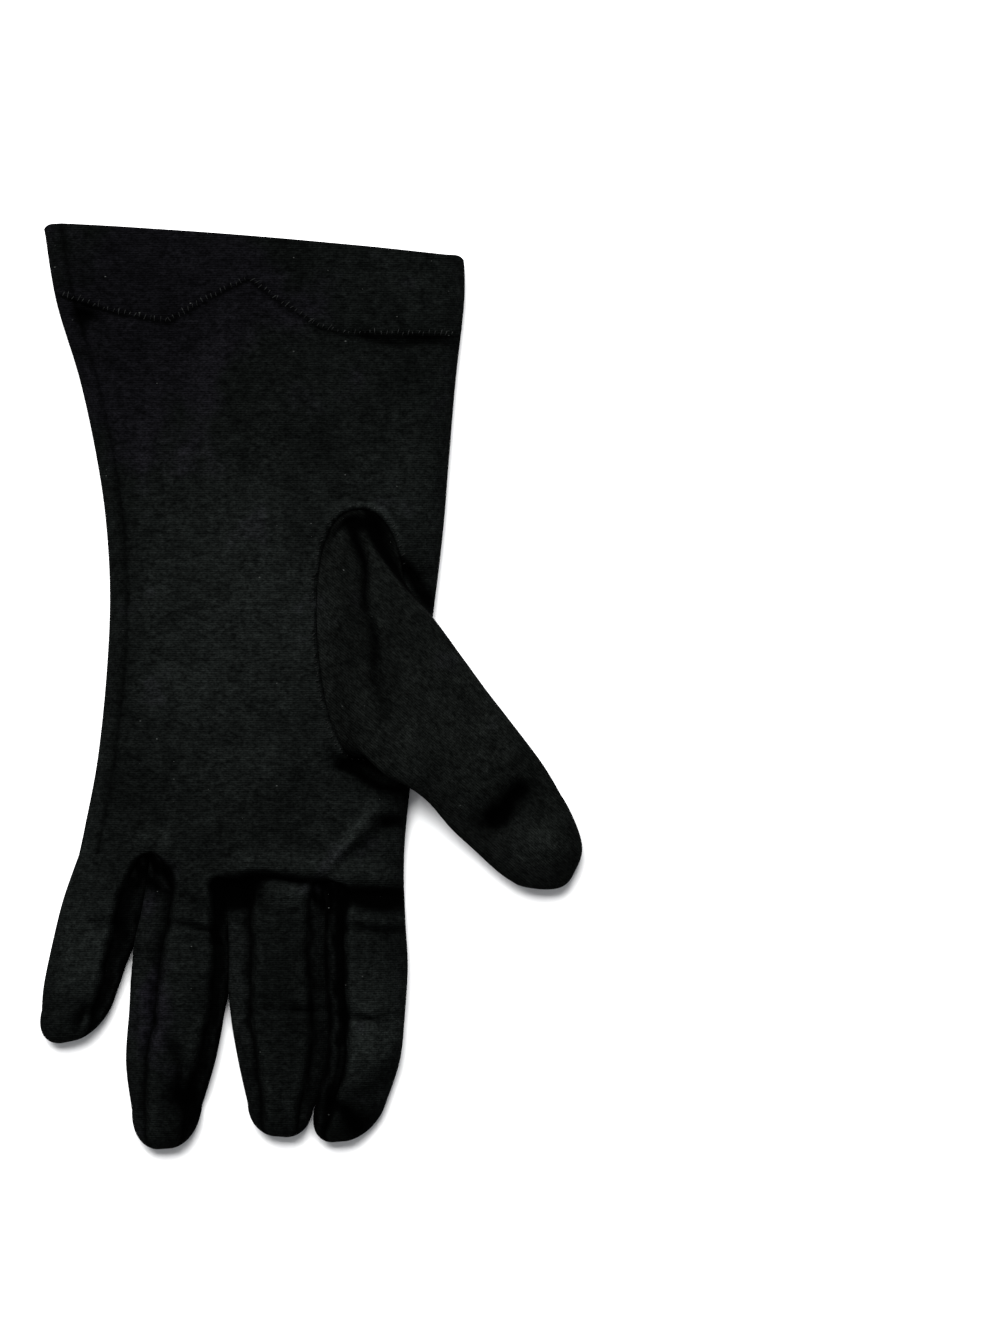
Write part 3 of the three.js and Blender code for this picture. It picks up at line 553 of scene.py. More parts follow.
def hand_layer(place, across, upper):
    """Upper or lower layer of the hand, place 0 at the hem edge and 1 at the finger roots."""
    place, across = np.broadcast_arrays(np.asarray(place, float), across)
    row = smooth_rows(HAND_ROWS, place * (len(HAND_ROWS) - 1))
    x = mix(row[..., 0] + SIDE_ROUND, row[..., 2] - SIDE_ROUND, across)
    offset = np.interp(across, crotch_stops, [0, *crotch_offsets, 0])
    y = mix(row[..., 1], row[..., 3], across) + ease(place, ROOT_BEND_START, 1) * offset
    y = y + HEM_BOW * 4 * across * (1 - across) * (1 - ease(place, 0, HEM_BOW_REACH))
    z = palm_height(x, y) if upper else np.full_like(x, FLOOR_LAYER)
    return np.stack([x, y, z], -1)


def hand_side(place, turn, right):
    """One side of the hand, turn 0 at the upper layer and 1 at the lower one. At the hem its corner drops
    by a power of the way out."""
    place, turn = np.broadcast_arrays(np.asarray(place, float), turn)
    end = np.full_like(place, 1.0 if right else 0.0)
    row = smooth_rows(HAND_ROWS, place * (len(HAND_ROWS) - 1))
    x = row[..., 2] - OUTLINE_INSET if right else row[..., 0] + OUTLINE_INSET
    y = row[..., 3] if right else row[..., 1]
    outermost = np.stack([x, y, np.full_like(x, (FLOOR_LAYER + HAND_EDGE_HEIGHT) / 2)], -1)
    top = hand_layer(place, end, True)
    points = round_side(top, outermost, hand_layer(place, end, False), turn)
    corner = (np.abs(points[..., 0] - top[..., 0]) / SIDE_ROUND) ** HEM_CORNER_POWER
    points[..., 1] -= HEM_CORNER * corner * (1 - ease(place, 0, HEM_CORNER_REACH))
    return points


def hand_ring(place):
    """Whole rings of the hand, one place for each row and column or for each row."""
    sides = SIDE_COUNT
    cuts = np.cumsum([len(hand_columns), sides, len(back_columns) - 1])
    front, right, back, left = np.split(np.broadcast_to(place, (len(place), cuts[-1] + sides)), cuts, 1)
    return np.concatenate([
        hand_layer(front, hand_columns, True),
        hand_side(right, turns[1:], True),
        hand_layer(back, back_columns[1:], False),
        hand_side(left, turns[::-1][1:], False),
    ], 1)


def closing_row(row, cap, tip):
    """Middle and half width of a row. Over the tip, where cap turns 0 to 90 degrees, the middle moves to the
    tip by its sine and the half width shrinks by its cosine, though not to nothing."""
    middle = (row[..., 0:2] + row[..., 2:4]) / 2
    half = (row[..., 2:4] - row[..., 0:2]) / 2
    blunt = TIP_BLUNT + (1 - TIP_BLUNT) * np.cos(cap)
    return mix(middle, tip, np.sin(cap)[..., None]), half * blunt[..., None]


def finger_section(finger, place, cap):
    """Middle, half width, width, swell and seam insets of a finger, on the cubic through its rows."""
    row = smooth_rows(finger["rows"], place * (len(finger["rows"]) - 1))
    centre, half = closing_row(row, cap, np.array(finger["tip"]) + (0, TIP_INSET))
    width = np.linalg.norm(row[..., 2:4] - row[..., 0:2], axis=-1)
    swell = np.cos(cap)
    return centre, half, width, swell, row[..., 4] * swell, row[..., 5] * swell


def seam_ramp(name, place, right):
    """How far a seam has come from the slit towards its line, 0 to 1: a quarter arch, or a power of the
    place where the seam ends in a point."""
    if (name, right) in POINTED_RAMPS:
        return np.clip(place / POINTED_RAMPS[name, right], 0, 1) ** POINTED_RAMP_POWER
    return quarter_arch(place, SEAM_RAMP)


def seam_wander(x, y):
    """How far a hand-guided seam strays from its line: two sine waves along the finger."""
    return SEAM_WANDER * waves(SEAM_WAVES, x, y)


def crinkle(x, y):
    """Small steep creases where cloth is gathered, 0 to 1: two crossing sine waves multiplied, where that
    is above 0."""
    # The crinkles shape nothing: they are only painted onto the strips as light
    fine, coarse = (waves([wave], x, y) for wave in CRINKLE_WAVES)
    return np.maximum(fine * coarse, 0)


def finger_groove(distance):
    """Relief beside a finger seam: a groove on the line and a low ridge of seam allowance next to it."""
    ridge = FINGER_RIDGE * bell(distance - FINGER_RIDGE_AWAY, FINGER_GROOVE_WIDTH)
    return ridge - FINGER_GROOVE * bell(distance, FINGER_GROOVE_WIDTH)


def finger_layer(name, place, cap, share, upper):
    """Upper or lower strip of a finger between its seams, and how deep in a crease each point lies, as
    painted shade and highlight.
    """
    finger = FINGERS[name]
    centre, half, width, swell, seam_left, seam_right = finger_section(finger, place, cap)
    first, last = name == "pinky", name == "index"
    ramp = quarter_arch(place, SEAM_RAMP)
    back_inset = swell * BACK_SEAM_INSET * ramp
    if upper:
        left = seam_left * (1 if first else seam_ramp(name, place, False))
        right = seam_right * (1 if last else seam_ramp(name, place, True))
    else:
        left = seam_left if first else back_inset
        right = seam_right if last else back_inset
    across = mix(left / width, 1 - right / width, share)
    spot = centre + half * (2 * across - 1)[..., None]
    x, y = spot[..., 0], spot[..., 1]
    if not upper:
        return np.stack([x, y, mix(TIP_HEIGHT, FLOOR_LAYER, swell)], -1), np.zeros_like(x)
    own = FINGER_EDGE_HEIGHT + FINGER_CROWN * 4 * share * (1 - share)
    base = mix(bare_height(x, y), own, ease(place, 0, ROOT_BLEND))
    panel = width - left - right
    seams = np.zeros_like(x)
    dark = np.zeros_like(x)
    begun = ease(place, 0, SEAM_START)
    stray = seam_wander(x, y)
    folds = fold_relief(FOLDS, x, y)
    both_sides = zip((share * panel, (1 - share) * panel), (first, last), SEAM_SHADE[name])
    for from_seam, is_fold, black in both_sides:
        if not is_fold:
            seams = seams + finger_groove(from_seam) * begun * swell
            dark = dark + black * bell(from_seam + stray, FINGER_DARK_WIDTH)
            dark = dark - SEAM_RIDGE_HIGHLIGHT * bell(from_seam - FINGER_RIDGE_AWAY, FINGER_GROOVE_WIDTH) * begun
    z = mix(TIP_HEIGHT, base + folds + slack(x, y) + seams, swell)
    dark = dark - folds / VALLEY_FOR_DARK
    return np.stack([x, y, z], -1), np.clip(dark, -RIDGE_HIGHLIGHT_CAP, 1)


def finger_side(name, place, cap, turn, right):
    """One side of a finger from its upper seam out to the outline and in to its back seam, with its painted
    shade.
    """
    centre, half, _, swell, _, _ = finger_section(FINGERS[name], place, cap)
    outward_sign = 1 if right else -1
    neighbour = list(FINGERS).index(name) - (0 if right else 1)
    end = np.full_like(turn, 1.0 if right else 0.0)
    top, _ = finger_layer(name, place, cap, end, True)
    bottom, _ = finger_layer(name, place, cap, end, False)
    edge = centre + half * outward_sign
    middle = (top[..., 2] + bottom[..., 2]) / 2
    if neighbour not in range(len(CROTCHES)):
        x = edge[..., 0] - OUTLINE_INSET * outward_sign
        outermost = np.stack([x, edge[..., 1], middle], -1)
        points = round_side(top, outermost, bottom, turn)
        valley = np.clip(valley_dark(points[..., 0], points[..., 1]), 0, 1)
        return points, valley * (1 - ease(turn, SIDE_DARK_FROM, SIDE_DARK_TO))
    ramp = quarter_arch(place, SEAM_RAMP)
    seam_depth = FINGER_GROOVE * ease(place, 0, SEAM_START) * swell
    top[..., 2] += seam_depth
    split = TOUCH_UNTIL[list(CROTCHES)[neighbour]]
    touching = ease(edge[..., 1], split - TOUCH_BELOW, split + TOUCH_ABOVE)
    inset = mix(FINGER_CLEARANCE, -SIDE_OVERLAP, touching) * ramp * swell
    x = edge[..., 0] - inset * outward_sign
    y = edge[..., 1] - CROTCH_DEPTH * (1 - ramp)
    z = (top[..., 2] + bottom[..., 2]) / 2 - SIDE_LEAN * outward_sign * touching * ramp * swell
    points = round_side(top, np.stack([x, y, z], -1), bottom, turn)
    from_seam = turn * STRIP_GIRTH
    points[..., 2] -= seam_depth * bell(from_seam, FINGER_GROOVE_WIDTH)
    x, y = points[..., 0], points[..., 1]
    stray = seam_wander(x, y)
    # Painted shade on a strip: along its seam, over it and at its root, lifted along a painted paler streak
    # and by painted light on crinkles
    gathered = 1 - ease(place, STRIP_ROOT_FROM, STRIP_ROOT_TO)
    crinkle_light = CRINKLE_LIGHT[name][int(right)] * gathered * crinkle(x, y)
    streak = 1 - STRIP_LIT_STREAK * bell(from_seam - STREAK_AWAY - stray, STREAK_WIDTH)
    seam = SEAM_SHADE[name][int(right)] * bell(from_seam - stray, FINGER_DARK_WIDTH)
    strip = np.maximum(STRIP_SHADE[name][int(right)] * streak, STRIP_ROOT_SHADE * gathered)
    dark = np.minimum(np.maximum(seam, strip + valley_dark(x, y)), 1)
    return points, np.clip(dark - crinkle_light, -RIDGE_HIGHLIGHT_CAP, 1)


def grid_to_tip(count, power, tip_count, across):
    """Places from 0 at the root to 1 at the tip, angles over the tip, and places across, over a grid."""
    places = np.concatenate([np.linspace(0, 1, count + 1) ** power, np.ones(tip_count)])
    caps = np.concatenate([np.zeros(count + 1), np.linspace(0, np.pi / 2, tip_count + 1)[1:]])
    return np.broadcast_arrays(places[:, None], caps[:, None], across)


def over_finger(across):
    """A finger's places, tip angles and places across, spread over its grid."""
    return grid_to_tip(FINGER_ROW_COUNT, FINGER_ROW_POWER, TIP_ROW_COUNT, across)


def side_grid(name, right):
    """The grid of one side of a finger, as cloth_mesh takes it."""
    side, dark = finger_side(name, *over_finger(turns if right else turns[::-1]), right)
    return side, dark, None


def bells_over_places(places, x, y):
    """Sum of elliptical bells over a table of places, each an amount that fades with distance."""
    worn = np.zeros(np.shape(x))
    for centre_x, centre_y, reach_x, reach_y, amount in places.values():
        worn = worn + amount * bell(np.hypot((x - centre_x) / reach_x, (y - centre_y) / reach_y), 1)
    return worn


def smooth_piece(name, mesh, material):
    """A smooth-shaded object of one mesh in one material, on the glove's body."""
    mesh.polygons.foreach_set("use_smooth", np.ones(len(mesh.polygons), bool))
    mesh.materials.append(material)
    piece = bpy.data.objects.new(name, mesh)
    bpy.context.collection.objects.link(piece)
    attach(piece, BODY)
    return piece


def cloth_mesh(name, grids, material):
    """A piece of cloth: quads over each grid of points, welded where grids meet, and a wall of even
    thickness. Each grid is its points, their painted shade, and its kept faces or None for all."""
    points, darks, faces, start = [], [], [], 0
    for grid, dark, kept in grids:
        rows, columns = grid.shape[:2]
        index = start + np.arange(rows * columns).reshape(rows, columns)
        quads = np.stack([index[:-1, :-1], index[1:, :-1], index[1:, 1:], index[:-1, 1:]], -1)
        faces.append(quads[kept] if kept is not None else quads.reshape(-1, 4))
        points.append(grid.reshape(-1, 3))
        darks.append(np.broadcast_to(dark, (rows, columns)).ravel())
        start += rows * columns
    mesh = bpy.data.meshes.new(name)
    points = np.concatenate(points)
    mesh.from_pydata(((points - ORIGIN) / 1000).tolist(), [], np.concatenate(faces).tolist())
    # Per point: painted shade of creases and seams, below 0 painted highlight; paler and darker spots of worn
    # nap with painted light and shade; and faded dye
    fields = {
        "crease": np.concatenate(darks),
        "nap_and_lighting": NAP_AND_LIGHTING_BASE + bells_over_places(NAP_AND_LIGHTING_SPOTS, points[:, 0], points[:, 1]),
        "faded": bells_over_places(FADED, points[:, 0], points[:, 1]),
    }
    for field, values in fields.items():
        mesh.attributes.new(field, "FLOAT", "POINT").data.foreach_set("value", values.astype(np.float32))
    welded = bmesh.new()
    welded.from_mesh(mesh)
    bmesh.ops.remove_doubles(welded, verts=welded.verts, dist=WELD / 1000)
    bmesh.ops.delete(welded, geom=[v for v in welded.verts if not v.link_faces], context="VERTS")
    welded.to_mesh(mesh)
    welded.free()
    piece = smooth_piece(name, mesh, material)
    wall = piece.modifiers.new("wall", "SOLIDIFY")
    wall.thickness = CLOTH / 1000
    wall.offset = 0
    return piece


def node(tree, kind, inputs=None, **settings):
    """A node with its settings, and its inputs as numbers or links."""
    made = tree.nodes.new(kind)
    for key, value in settings.items():
        setattr(made, key, value)
    for key, value in (inputs or {}).items():
        if isinstance(value, bpy.types.NodeSocket):
            tree.links.new(value, made.inputs[key])
        else:
            made.inputs[key].default_value = value
    return made


def maths(tree, operation, first, second):
    """One sum of two numbers or links."""
    return node(tree, "ShaderNodeMath", {0: first, 1: second}, operation=operation).outputs[0]


def spread_out(tree, value, low, high, to_low, to_high):
    """A value's range from low to high, stretched to another range."""
    return node(tree, "ShaderNodeMapRange", {
        "Value": value, "From Min": low, "From Max": high, "To Min": to_low, "To Max": to_high,
    }).outputs[0]


def noise(tree, place, scale, detail):
    """Noise with so many features to a metre."""
    inputs = {"Vector": place, "Scale": scale, "Detail": detail}
    return node(tree, "ShaderNodeTexNoise", inputs).outputs["Fac"]


def shaded_material(name):
    """A new material, its node tree and its shader."""
    material = bpy.data.materials.new(name)
    material.use_nodes = True
    return material, material.node_tree, material.node_tree.nodes["Principled BSDF"]


# Bands of the knit: their direction, pitch in metres, how far they waver and in what detail
RIBS = ("Y", 0.00062, 0.6, 3.0)
WALES = ("X", 0.00048, 0.8, 2.0)
WAVE_TURNS = 2 * math.pi / 20
RIB_CONTRAST = 0.2
RIB_RELIEF, WALE_RELIEF = 0.5, 0.3
STREAK_STRETCH = (0.55, 1.0, 1.0)

# Noise in the cloth: features to a metre, detail; the values of noise lie mostly between low and high
GRAIN = (2400.0, 2.0)
CLUMPS = (900.0, 3.0)
MOTTLE = (240.0, 3.0)
PATCHES = (60.0, 4.0)
PUCKERS = (170.0, 2.0)
NOISE_LOW, NOISE_HIGH = 0.3, 0.7
NOISE_CONTRASTS = (0.55, 0.5, 0.2, 0.28)

# How strongly painted shade darkens creases and seams, and painted highlight lightens ridges
CREASE_SHADE_STRENGTH = 0.99
FADED_FROM, FADED_TO = 0.35, 0.8
FADED_PATCHY = 0.5
LINT_GREY = (0.032, 0.034, 0.032, 1)
LINT_SCALE = 380.0
LINT_RARE = 0.965
LINT_SMALLEST, LINT_LARGEST = 0.01, 0.055
CLOTH_SMOOTHEST, CLOTH_ROUGHEST = 0.74, 0.9
CLOTH_SPECULAR = 0.004
CLOTH_SHEEN, CLOTH_SHEEN_ROUGH = 0.001, 0.5
WRINKLE_BUMP, WRINKLE_HEIGHT = 0.45, 0.001
WEAVE_BUMP, WEAVE_HEIGHT = 0.6, 0.00025


def tricot(name, black, faded, rib_turn):
    """Warp-knitted nylon: ribs across and wales along, grain, patches of faded dye, specks of lint, painted
    shade in creases with painted highlight on ridges, and paler and darker spots of worn nap with painted
    light and shade."""
    material, tree, shader = shaded_material(name)
    place = node(tree, "ShaderNodeTexCoord").outputs["Object"]
    turned = node(tree, "ShaderNodeMapping", {"Vector": place, "Rotation": (0, 0, rib_turn)}).outputs[0]
    streaked = node(tree, "ShaderNodeMapping", {"Vector": turned, "Scale": STREAK_STRETCH}).outputs[0]

    ribs, wales = [
        node(tree, "ShaderNodeTexWave", {
            "Vector": turned, "Scale": WAVE_TURNS / pitch, "Distortion": waver,
            "Detail": 1.0, "Detail Scale": fineness,
        }, bands_direction=direction).outputs["Fac"]
        for direction, pitch, waver, fineness in (RIBS, WALES)
    ]
    grain = noise(tree, streaked, *GRAIN)
    clumps = noise(tree, streaked, *CLUMPS)
    mottle = noise(tree, place, *MOTTLE)
    patches = noise(tree, place, *PATCHES)
    puckers = noise(tree, place, *PUCKERS)
    crease, nap_and_lighting, faded_spots = [
        node(tree, "ShaderNodeAttribute", attribute_name=field).outputs["Fac"]
        for field in ("crease", "nap_and_lighting", "faded")
    ]

    # Painted shade in creases and seams and painted highlight on ridges, then paler and darker spots of worn
    # nap with painted light and shade
    shade = spread_out(tree, crease, -1.0, 1.0, 1.0 + CREASE_SHADE_STRENGTH, 1.0 - CREASE_SHADE_STRENGTH)
    shade = maths(tree, "MULTIPLY", shade, nap_and_lighting)
    for texture, contrast in zip((grain, clumps, mottle, patches), NOISE_CONTRASTS):
        lighter = spread_out(tree, texture, NOISE_LOW, NOISE_HIGH, 1 - contrast, 1 + contrast)
        shade = maths(tree, "MULTIPLY", shade, lighter)
    rib_shade = spread_out(tree, ribs, 0.0, 1.0, 1 - RIB_CONTRAST, 1 + RIB_CONTRAST)
    shade = maths(tree, "MULTIPLY", shade, rib_shade)
    patchy = spread_out(tree, patches, NOISE_LOW, NOISE_HIGH, -FADED_PATCHY, FADED_PATCHY)
    fading = spread_out(tree, maths(tree, "ADD", faded_spots, patchy), FADED_FROM, FADED_TO, 0.0, 1.0)
    tint = node(tree, "ShaderNodeMix", {"Factor": fading}, data_type="RGBA")
    tint.inputs[6].default_value = (*black, 1)
    tint.inputs[7].default_value = (*faded, 1)
    shaded = node(tree, "ShaderNodeVectorMath", {"Scale": shade}, operation="SCALE")
    tree.links.new(tint.outputs[2], shaded.inputs[0])

    cells = {"Vector": streaked, "Scale": LINT_SCALE}
    specks = node(tree, "ShaderNodeTexVoronoi", cells, voronoi_dimensions="2D").outputs
    draw = node(tree, "ShaderNodeSeparateColor", {"Color": specks["Color"]}).outputs
    size = spread_out(tree, draw[1], 0.0, 1.0, LINT_SMALLEST, LINT_LARGEST)
    small = maths(tree, "LESS_THAN", specks["Distance"], size)
    lint = maths(tree, "MULTIPLY", small, maths(tree, "GREATER_THAN", draw[0], LINT_RARE))
    dusted = node(tree, "ShaderNodeMix", {"Factor": lint}, data_type="RGBA")
    tree.links.new(shaded.outputs[0], dusted.inputs[6])
    dusted.inputs[7].default_value = LINT_GREY
    tree.links.new(dusted.outputs[2], shader.inputs["Base Color"])

    rough = spread_out(tree, patches, NOISE_LOW, NOISE_HIGH, CLOTH_SMOOTHEST, CLOTH_ROUGHEST)
    tree.links.new(rough, shader.inputs["Roughness"])
    shader.inputs["Specular IOR Level"].default_value = CLOTH_SPECULAR
    shader.inputs["Sheen Weight"].default_value = CLOTH_SHEEN
    shader.inputs["Sheen Roughness"].default_value = CLOTH_SHEEN_ROUGH

    wrinkle = node(tree, "ShaderNodeBump", {
        "Height": puckers, "Strength": WRINKLE_BUMP, "Distance": WRINKLE_HEIGHT,
    })
    rib_relief = maths(tree, "MULTIPLY", ribs, RIB_RELIEF)
    knit = maths(tree, "ADD", rib_relief, maths(tree, "MULTIPLY", wales, WALE_RELIEF))
    weave = node(tree, "ShaderNodeBump", {
        "Height": maths(tree, "ADD", knit, grain), "Strength": WEAVE_BUMP, "Distance": WEAVE_HEIGHT,
        "Normal": wrinkle.outputs[0],
    })
    tree.links.new(weave.outputs[0], shader.inputs["Normal"])
    return material


palm_tricot = tricot("palm_tricot", (0.0038, 0.0045, 0.0042), (0.0043, 0.0042, 0.0052), 0.0)

even = np.linspace(0, 1, HAND_ROW_COUNT)
row_steps = 1 / (1 + HEM_ROW_CROWDING * bell(even - HEM_ROW_AT, HEM_ROW_REACH))
hand_places = np.concatenate([[0], np.cumsum(row_steps) / row_steps.sum()])[:, None]
hand = hand_ring(hand_places)
# Painted shade and highlight of the palm, on its upper layer only
hand_dark = palm_dark(hand[..., 0], hand[..., 1]) * ease(hand[..., 2], DARK_FROM_HEIGHT, DARK_FULL_HEIGHT)

# The oval is cut out face by face, and the cut edge is drawn onto the oval
middles = (hand[:-1, :-1] + hand[1:, 1:]) / 2
cut = inside_oval(middles[..., 0], middles[..., 1]) & (middles[..., 2] > HAND_EDGE_HEIGHT / 2 + FLOOR_LAYER)
beside_cut = np.zeros(hand.shape[:2], bool)
beside_kept = np.zeros(hand.shape[:2], bool)
for down in (0, 1):
    for along in (0, 1):
        window = (slice(down, down + cut.shape[0]), slice(along, along + cut.shape[1]))
        beside_cut[window] |= cut
        beside_kept[window] |= ~cut
on_edge = beside_cut & beside_kept
nearest, _ = nearest_on_oval(hand[on_edge][:, 0], hand[on_edge][:, 1])
edge_x, edge_y = oval_line[nearest].T
hand[on_edge] = np.stack([edge_x, edge_y, palm_height(edge_x, edge_y)], -1)

palm_grids = [(hand, hand_dark, ~cut)]
for name, finger in FINGERS.items():
    spread = over_finger(shares(finger["steps"]))
    upper, upper_dark = finger_layer(name, *spread, True)
    lower, lower_dark = finger_layer(name, *[a[:, ::BACK_COLUMN_EVERY] for a in spread], False)
    palm_grids.append((upper, upper_dark, None))
    palm_grids.append((lower[:, ::-1], lower_dark, None))
palm_grids += [side_grid("pinky", False), side_grid("index", True)]
palm_and_back = cloth_mesh("palm_and_back", palm_grids, palm_tricot)
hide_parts("trank")

# Stitches.
# The hem is caught down and the thumb is set in by short slanting stitches of dull black spun thread.
# They stand up a little from the cloth and catch the light, and no two are quite alike.

THREAD_RADIUS = 0.12
THREAD_RISE = 0.14
THREAD_UNEVEN = 0.3
THREAD_END = 0.01
THREAD_RINGS = 6
THREAD_SIDES = 6
THREAD_LEAN = 0.15
HEM_STITCH_BELOW, HEM_STITCH_ABOVE = -0.1, 1.4
THUMB_STITCH_INNER, THUMB_STITCH_OUTER = 0.7, 1.5
THUMB_STITCH_PITCH = 1.3
THUMB_SEWN_FROM, THUMB_SEWN_TO = -1.0, 3.3
HEM_SEWN_FROM, HEM_SEWN_TO = 0.012, 0.99
LINE_SAMPLES = 600
THUMB_LINE_SAMPLES = 400
TWIST_PITCH = 0.0002
FIBRES = (900.0, 2.0)
FIBRES_LOW, FIBRES_HIGH = 0.35, 0.65
FIBRE_CONTRAST = 0.75
PLY_DARKEST, PLY_PALEST = 0.7, 1.2
PLY_BUMP, PLY_HEIGHT = 0.5, 0.0001
THREAD_ROUGH = 0.7
THREAD_SPECULAR = 0.08


def evenly(line, pitch):
    """Points a pitch apart on a line of points, with the unit vectors along it and to its left."""
    run = run_along(line)
    at = np.arange(pitch / 2, run[-1], pitch)
    points = np.stack([np.interp(at, run, line[:, 0]), np.interp(at, run, line[:, 1])], -1)
    steps = np.gradient(line, axis=0)
    along = np.stack([np.interp(at, run, steps[:, 0]), np.interp(at, run, steps[:, 1])], -1)
    along = along / np.linalg.norm(along, axis=1, keepdims=True)
    return points, along, np.stack([-along[:, 1], along[:, 0]], -1)


def stitches(name, line, pitch, inner, outer, material):
    """Threads across a line, leaning and a little uneven: each is a tube, round at its ends, whose middle
    rises over the cloth by a sine arch."""
    points, along, across = evenly(line, pitch)
    uneven = THREAD_UNEVEN * np.random.default_rng(len(points)).normal(size=(4, len(points), 1))
    start = points + across * (inner + uneven[0] / 2) - along * (THREAD_LEAN + uneven[1] / 2)
    end = points + across * (outer + uneven[2]) + along * (THREAD_LEAN + uneven[3])
    u = np.linspace(0, 1, THREAD_RINGS + 1)[None, :, None]
    v = np.linspace(0, 2 * np.pi, THREAD_SIDES, endpoint=False)[None, None, :]
    middle_x = mix(start[:, 0, None, None], end[:, 0, None, None], u)
    middle_y = mix(start[:, 1, None, None], end[:, 1, None, None], u)
    reach = end - start
    aside = np.stack([-reach[:, 1], reach[:, 0]], -1) / np.linalg.norm(reach, axis=1, keepdims=True)
    radius = THREAD_RADIUS * np.sqrt(1 - (1 - THREAD_END**2) * (2 * u - 1) ** 4)
    x = middle_x + radius * np.cos(v) * aside[:, 0, None, None]
    y = middle_y + radius * np.cos(v) * aside[:, 1, None, None]
    ground = palm_height(middle_x, middle_y) + CLOTH / 2 + THREAD_RISE * np.sin(np.pi * u)
    z = ground + radius * np.sin(v)
    grid = np.stack([x, y, z], -1)
    count = grid.shape[0]
    index = np.arange(count * (THREAD_RINGS + 1) * THREAD_SIDES).reshape(grid.shape[:3])
    beside = np.roll(index, -1, 2)
    quads = np.stack([index[:, :-1], beside[:, :-1], beside[:, 1:], index[:, 1:]], -1).reshape(-1, 4)
    caps = np.concatenate([index[:, 0, ::-1], index[:, -1]])
    mesh = bpy.data.meshes.new(name)
    mesh.from_pydata(((grid.reshape(-1, 3) - ORIGIN) / 1000).tolist(), [], quads.tolist() + caps.tolist())
    piece = smooth_piece(name, mesh, material)
    return piece


def thread(name, colour):
    """Dull spun thread: its colour broken up by fibres and twisted plies, with a fine bump of the plies."""
    material, tree, shader = shaded_material(name)
    place = node(tree, "ShaderNodeTexCoord").outputs["Object"]
    fibres = noise(tree, place, *FIBRES)
    plies = node(tree, "ShaderNodeTexWave", {
        "Vector": place, "Scale": WAVE_TURNS / TWIST_PITCH, "Distortion": 1.0,
    }, bands_direction="DIAGONAL").outputs["Fac"]
    fibre_tone = spread_out(tree, fibres, FIBRES_LOW, FIBRES_HIGH, 1 - FIBRE_CONTRAST, 1 + FIBRE_CONTRAST)
    ply_tone = spread_out(tree, plies, 0.0, 1.0, PLY_DARKEST, PLY_PALEST)
    tone = maths(tree, "MULTIPLY", fibre_tone, ply_tone)
    shaded = node(tree, "ShaderNodeVectorMath", {0: colour, "Scale": tone}, operation="SCALE")
    tree.links.new(shaded.outputs[0], shader.inputs["Base Color"])
    bump = node(tree, "ShaderNodeBump", {"Height": plies, "Strength": PLY_BUMP, "Distance": PLY_HEIGHT})
    tree.links.new(bump.outputs[0], shader.inputs["Normal"])
    shader.inputs["Roughness"].default_value = THREAD_ROUGH
    shader.inputs["Specular IOR Level"].default_value = THREAD_SPECULAR
    return material


black_thread = thread("black_thread", (0.0082, 0.0088, 0.0085))
thumb_thread = thread("thumb_thread", (0.0056, 0.0061, 0.0058))
hem_across = np.linspace(HEM_SEWN_FROM, HEM_SEWN_TO, LINE_SAMPLES)
hem_y = hem_edge(hem_across) - hem_depth(hem_across)
hem_left, hem_right = palm_edges(hem_y)
hem_points = np.stack([mix(hem_left, hem_right, hem_across), hem_y], -1)
hem_stitches = stitches(
    "hem_stitches", hem_points, STITCH_PITCH, HEM_STITCH_BELOW, HEM_STITCH_ABOVE, black_thread,
)
sewn_points = on_oval(np.linspace(THUMB_SEWN_FROM, THUMB_SEWN_TO, THUMB_LINE_SAMPLES))
thumb_stitches = stitches(
    "thumb_stitches", sewn_points, THUMB_STITCH_PITCH, -THUMB_STITCH_INNER, -THUMB_STITCH_OUTER, thumb_thread,
)

# Strips between the fingers.
# Each of the three is a narrow piece of the same nylon, folded at the slit between two fingers. It is
# sewn down the side of one finger and up the facing side of the next, to the fronts and to the backs.

strip_tricot = tricot("strip_tricot", (0.0038, 0.0044, 0.0042), (0.0044, 0.0041, 0.0056), 0.0)
finger_names = list(FINGERS)
for i, gap_name in enumerate(CROTCHES):
    strip_grids = [side_grid(finger_names[i], True), side_grid(finger_names[i + 1], False)]
    strip = cloth_mesh(f"strip_{gap_name}", strip_grids, strip_tricot)
    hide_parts(f"fourchette_{gap_name}")

# Thumb.
# The real piece is a tube of the same nylon, cut on the cross and closed along one side. It is sewn into
# the oval of the palm, and lies folded flat over the palm's edge onto the table.

THUMB_TIP = np.array([73.6, -50.8])
THUMB_TIP_HEIGHT = 3.6
THUMB_TIP_TAPER = 0.3
LIP_STATION = 0.15
TOP_BLEND_STATION = 1.5
THUMB_ROW_COUNT = 120
THUMB_ROW_POWER = 1.35
THUMB_TIP_ROWS = 16
THUMB_AROUND = 96
TOP_FULLNESS = 0.8
UNDER_FULLNESS = 0.5
TOP_FROM = 0.12
FOLD_EDGE = 0.04
POCKET_START = 0.8
POCKET_END = 3.0
POCKET_DEPTH = 2.2
# Painted shade on the whole under layer, full beside the fold and less further round, and at the seam into
# the palm
POCKET_DARK, POCKET_DARK_AWAY = 1.0, 0.6
POCKET_AWAY_FROM, POCKET_AWAY_TO = 0.25, 0.75
SEAM_DARK = 0.8
SEAM_STATION = 0.12
CROSS_CUT = math.radians(40)

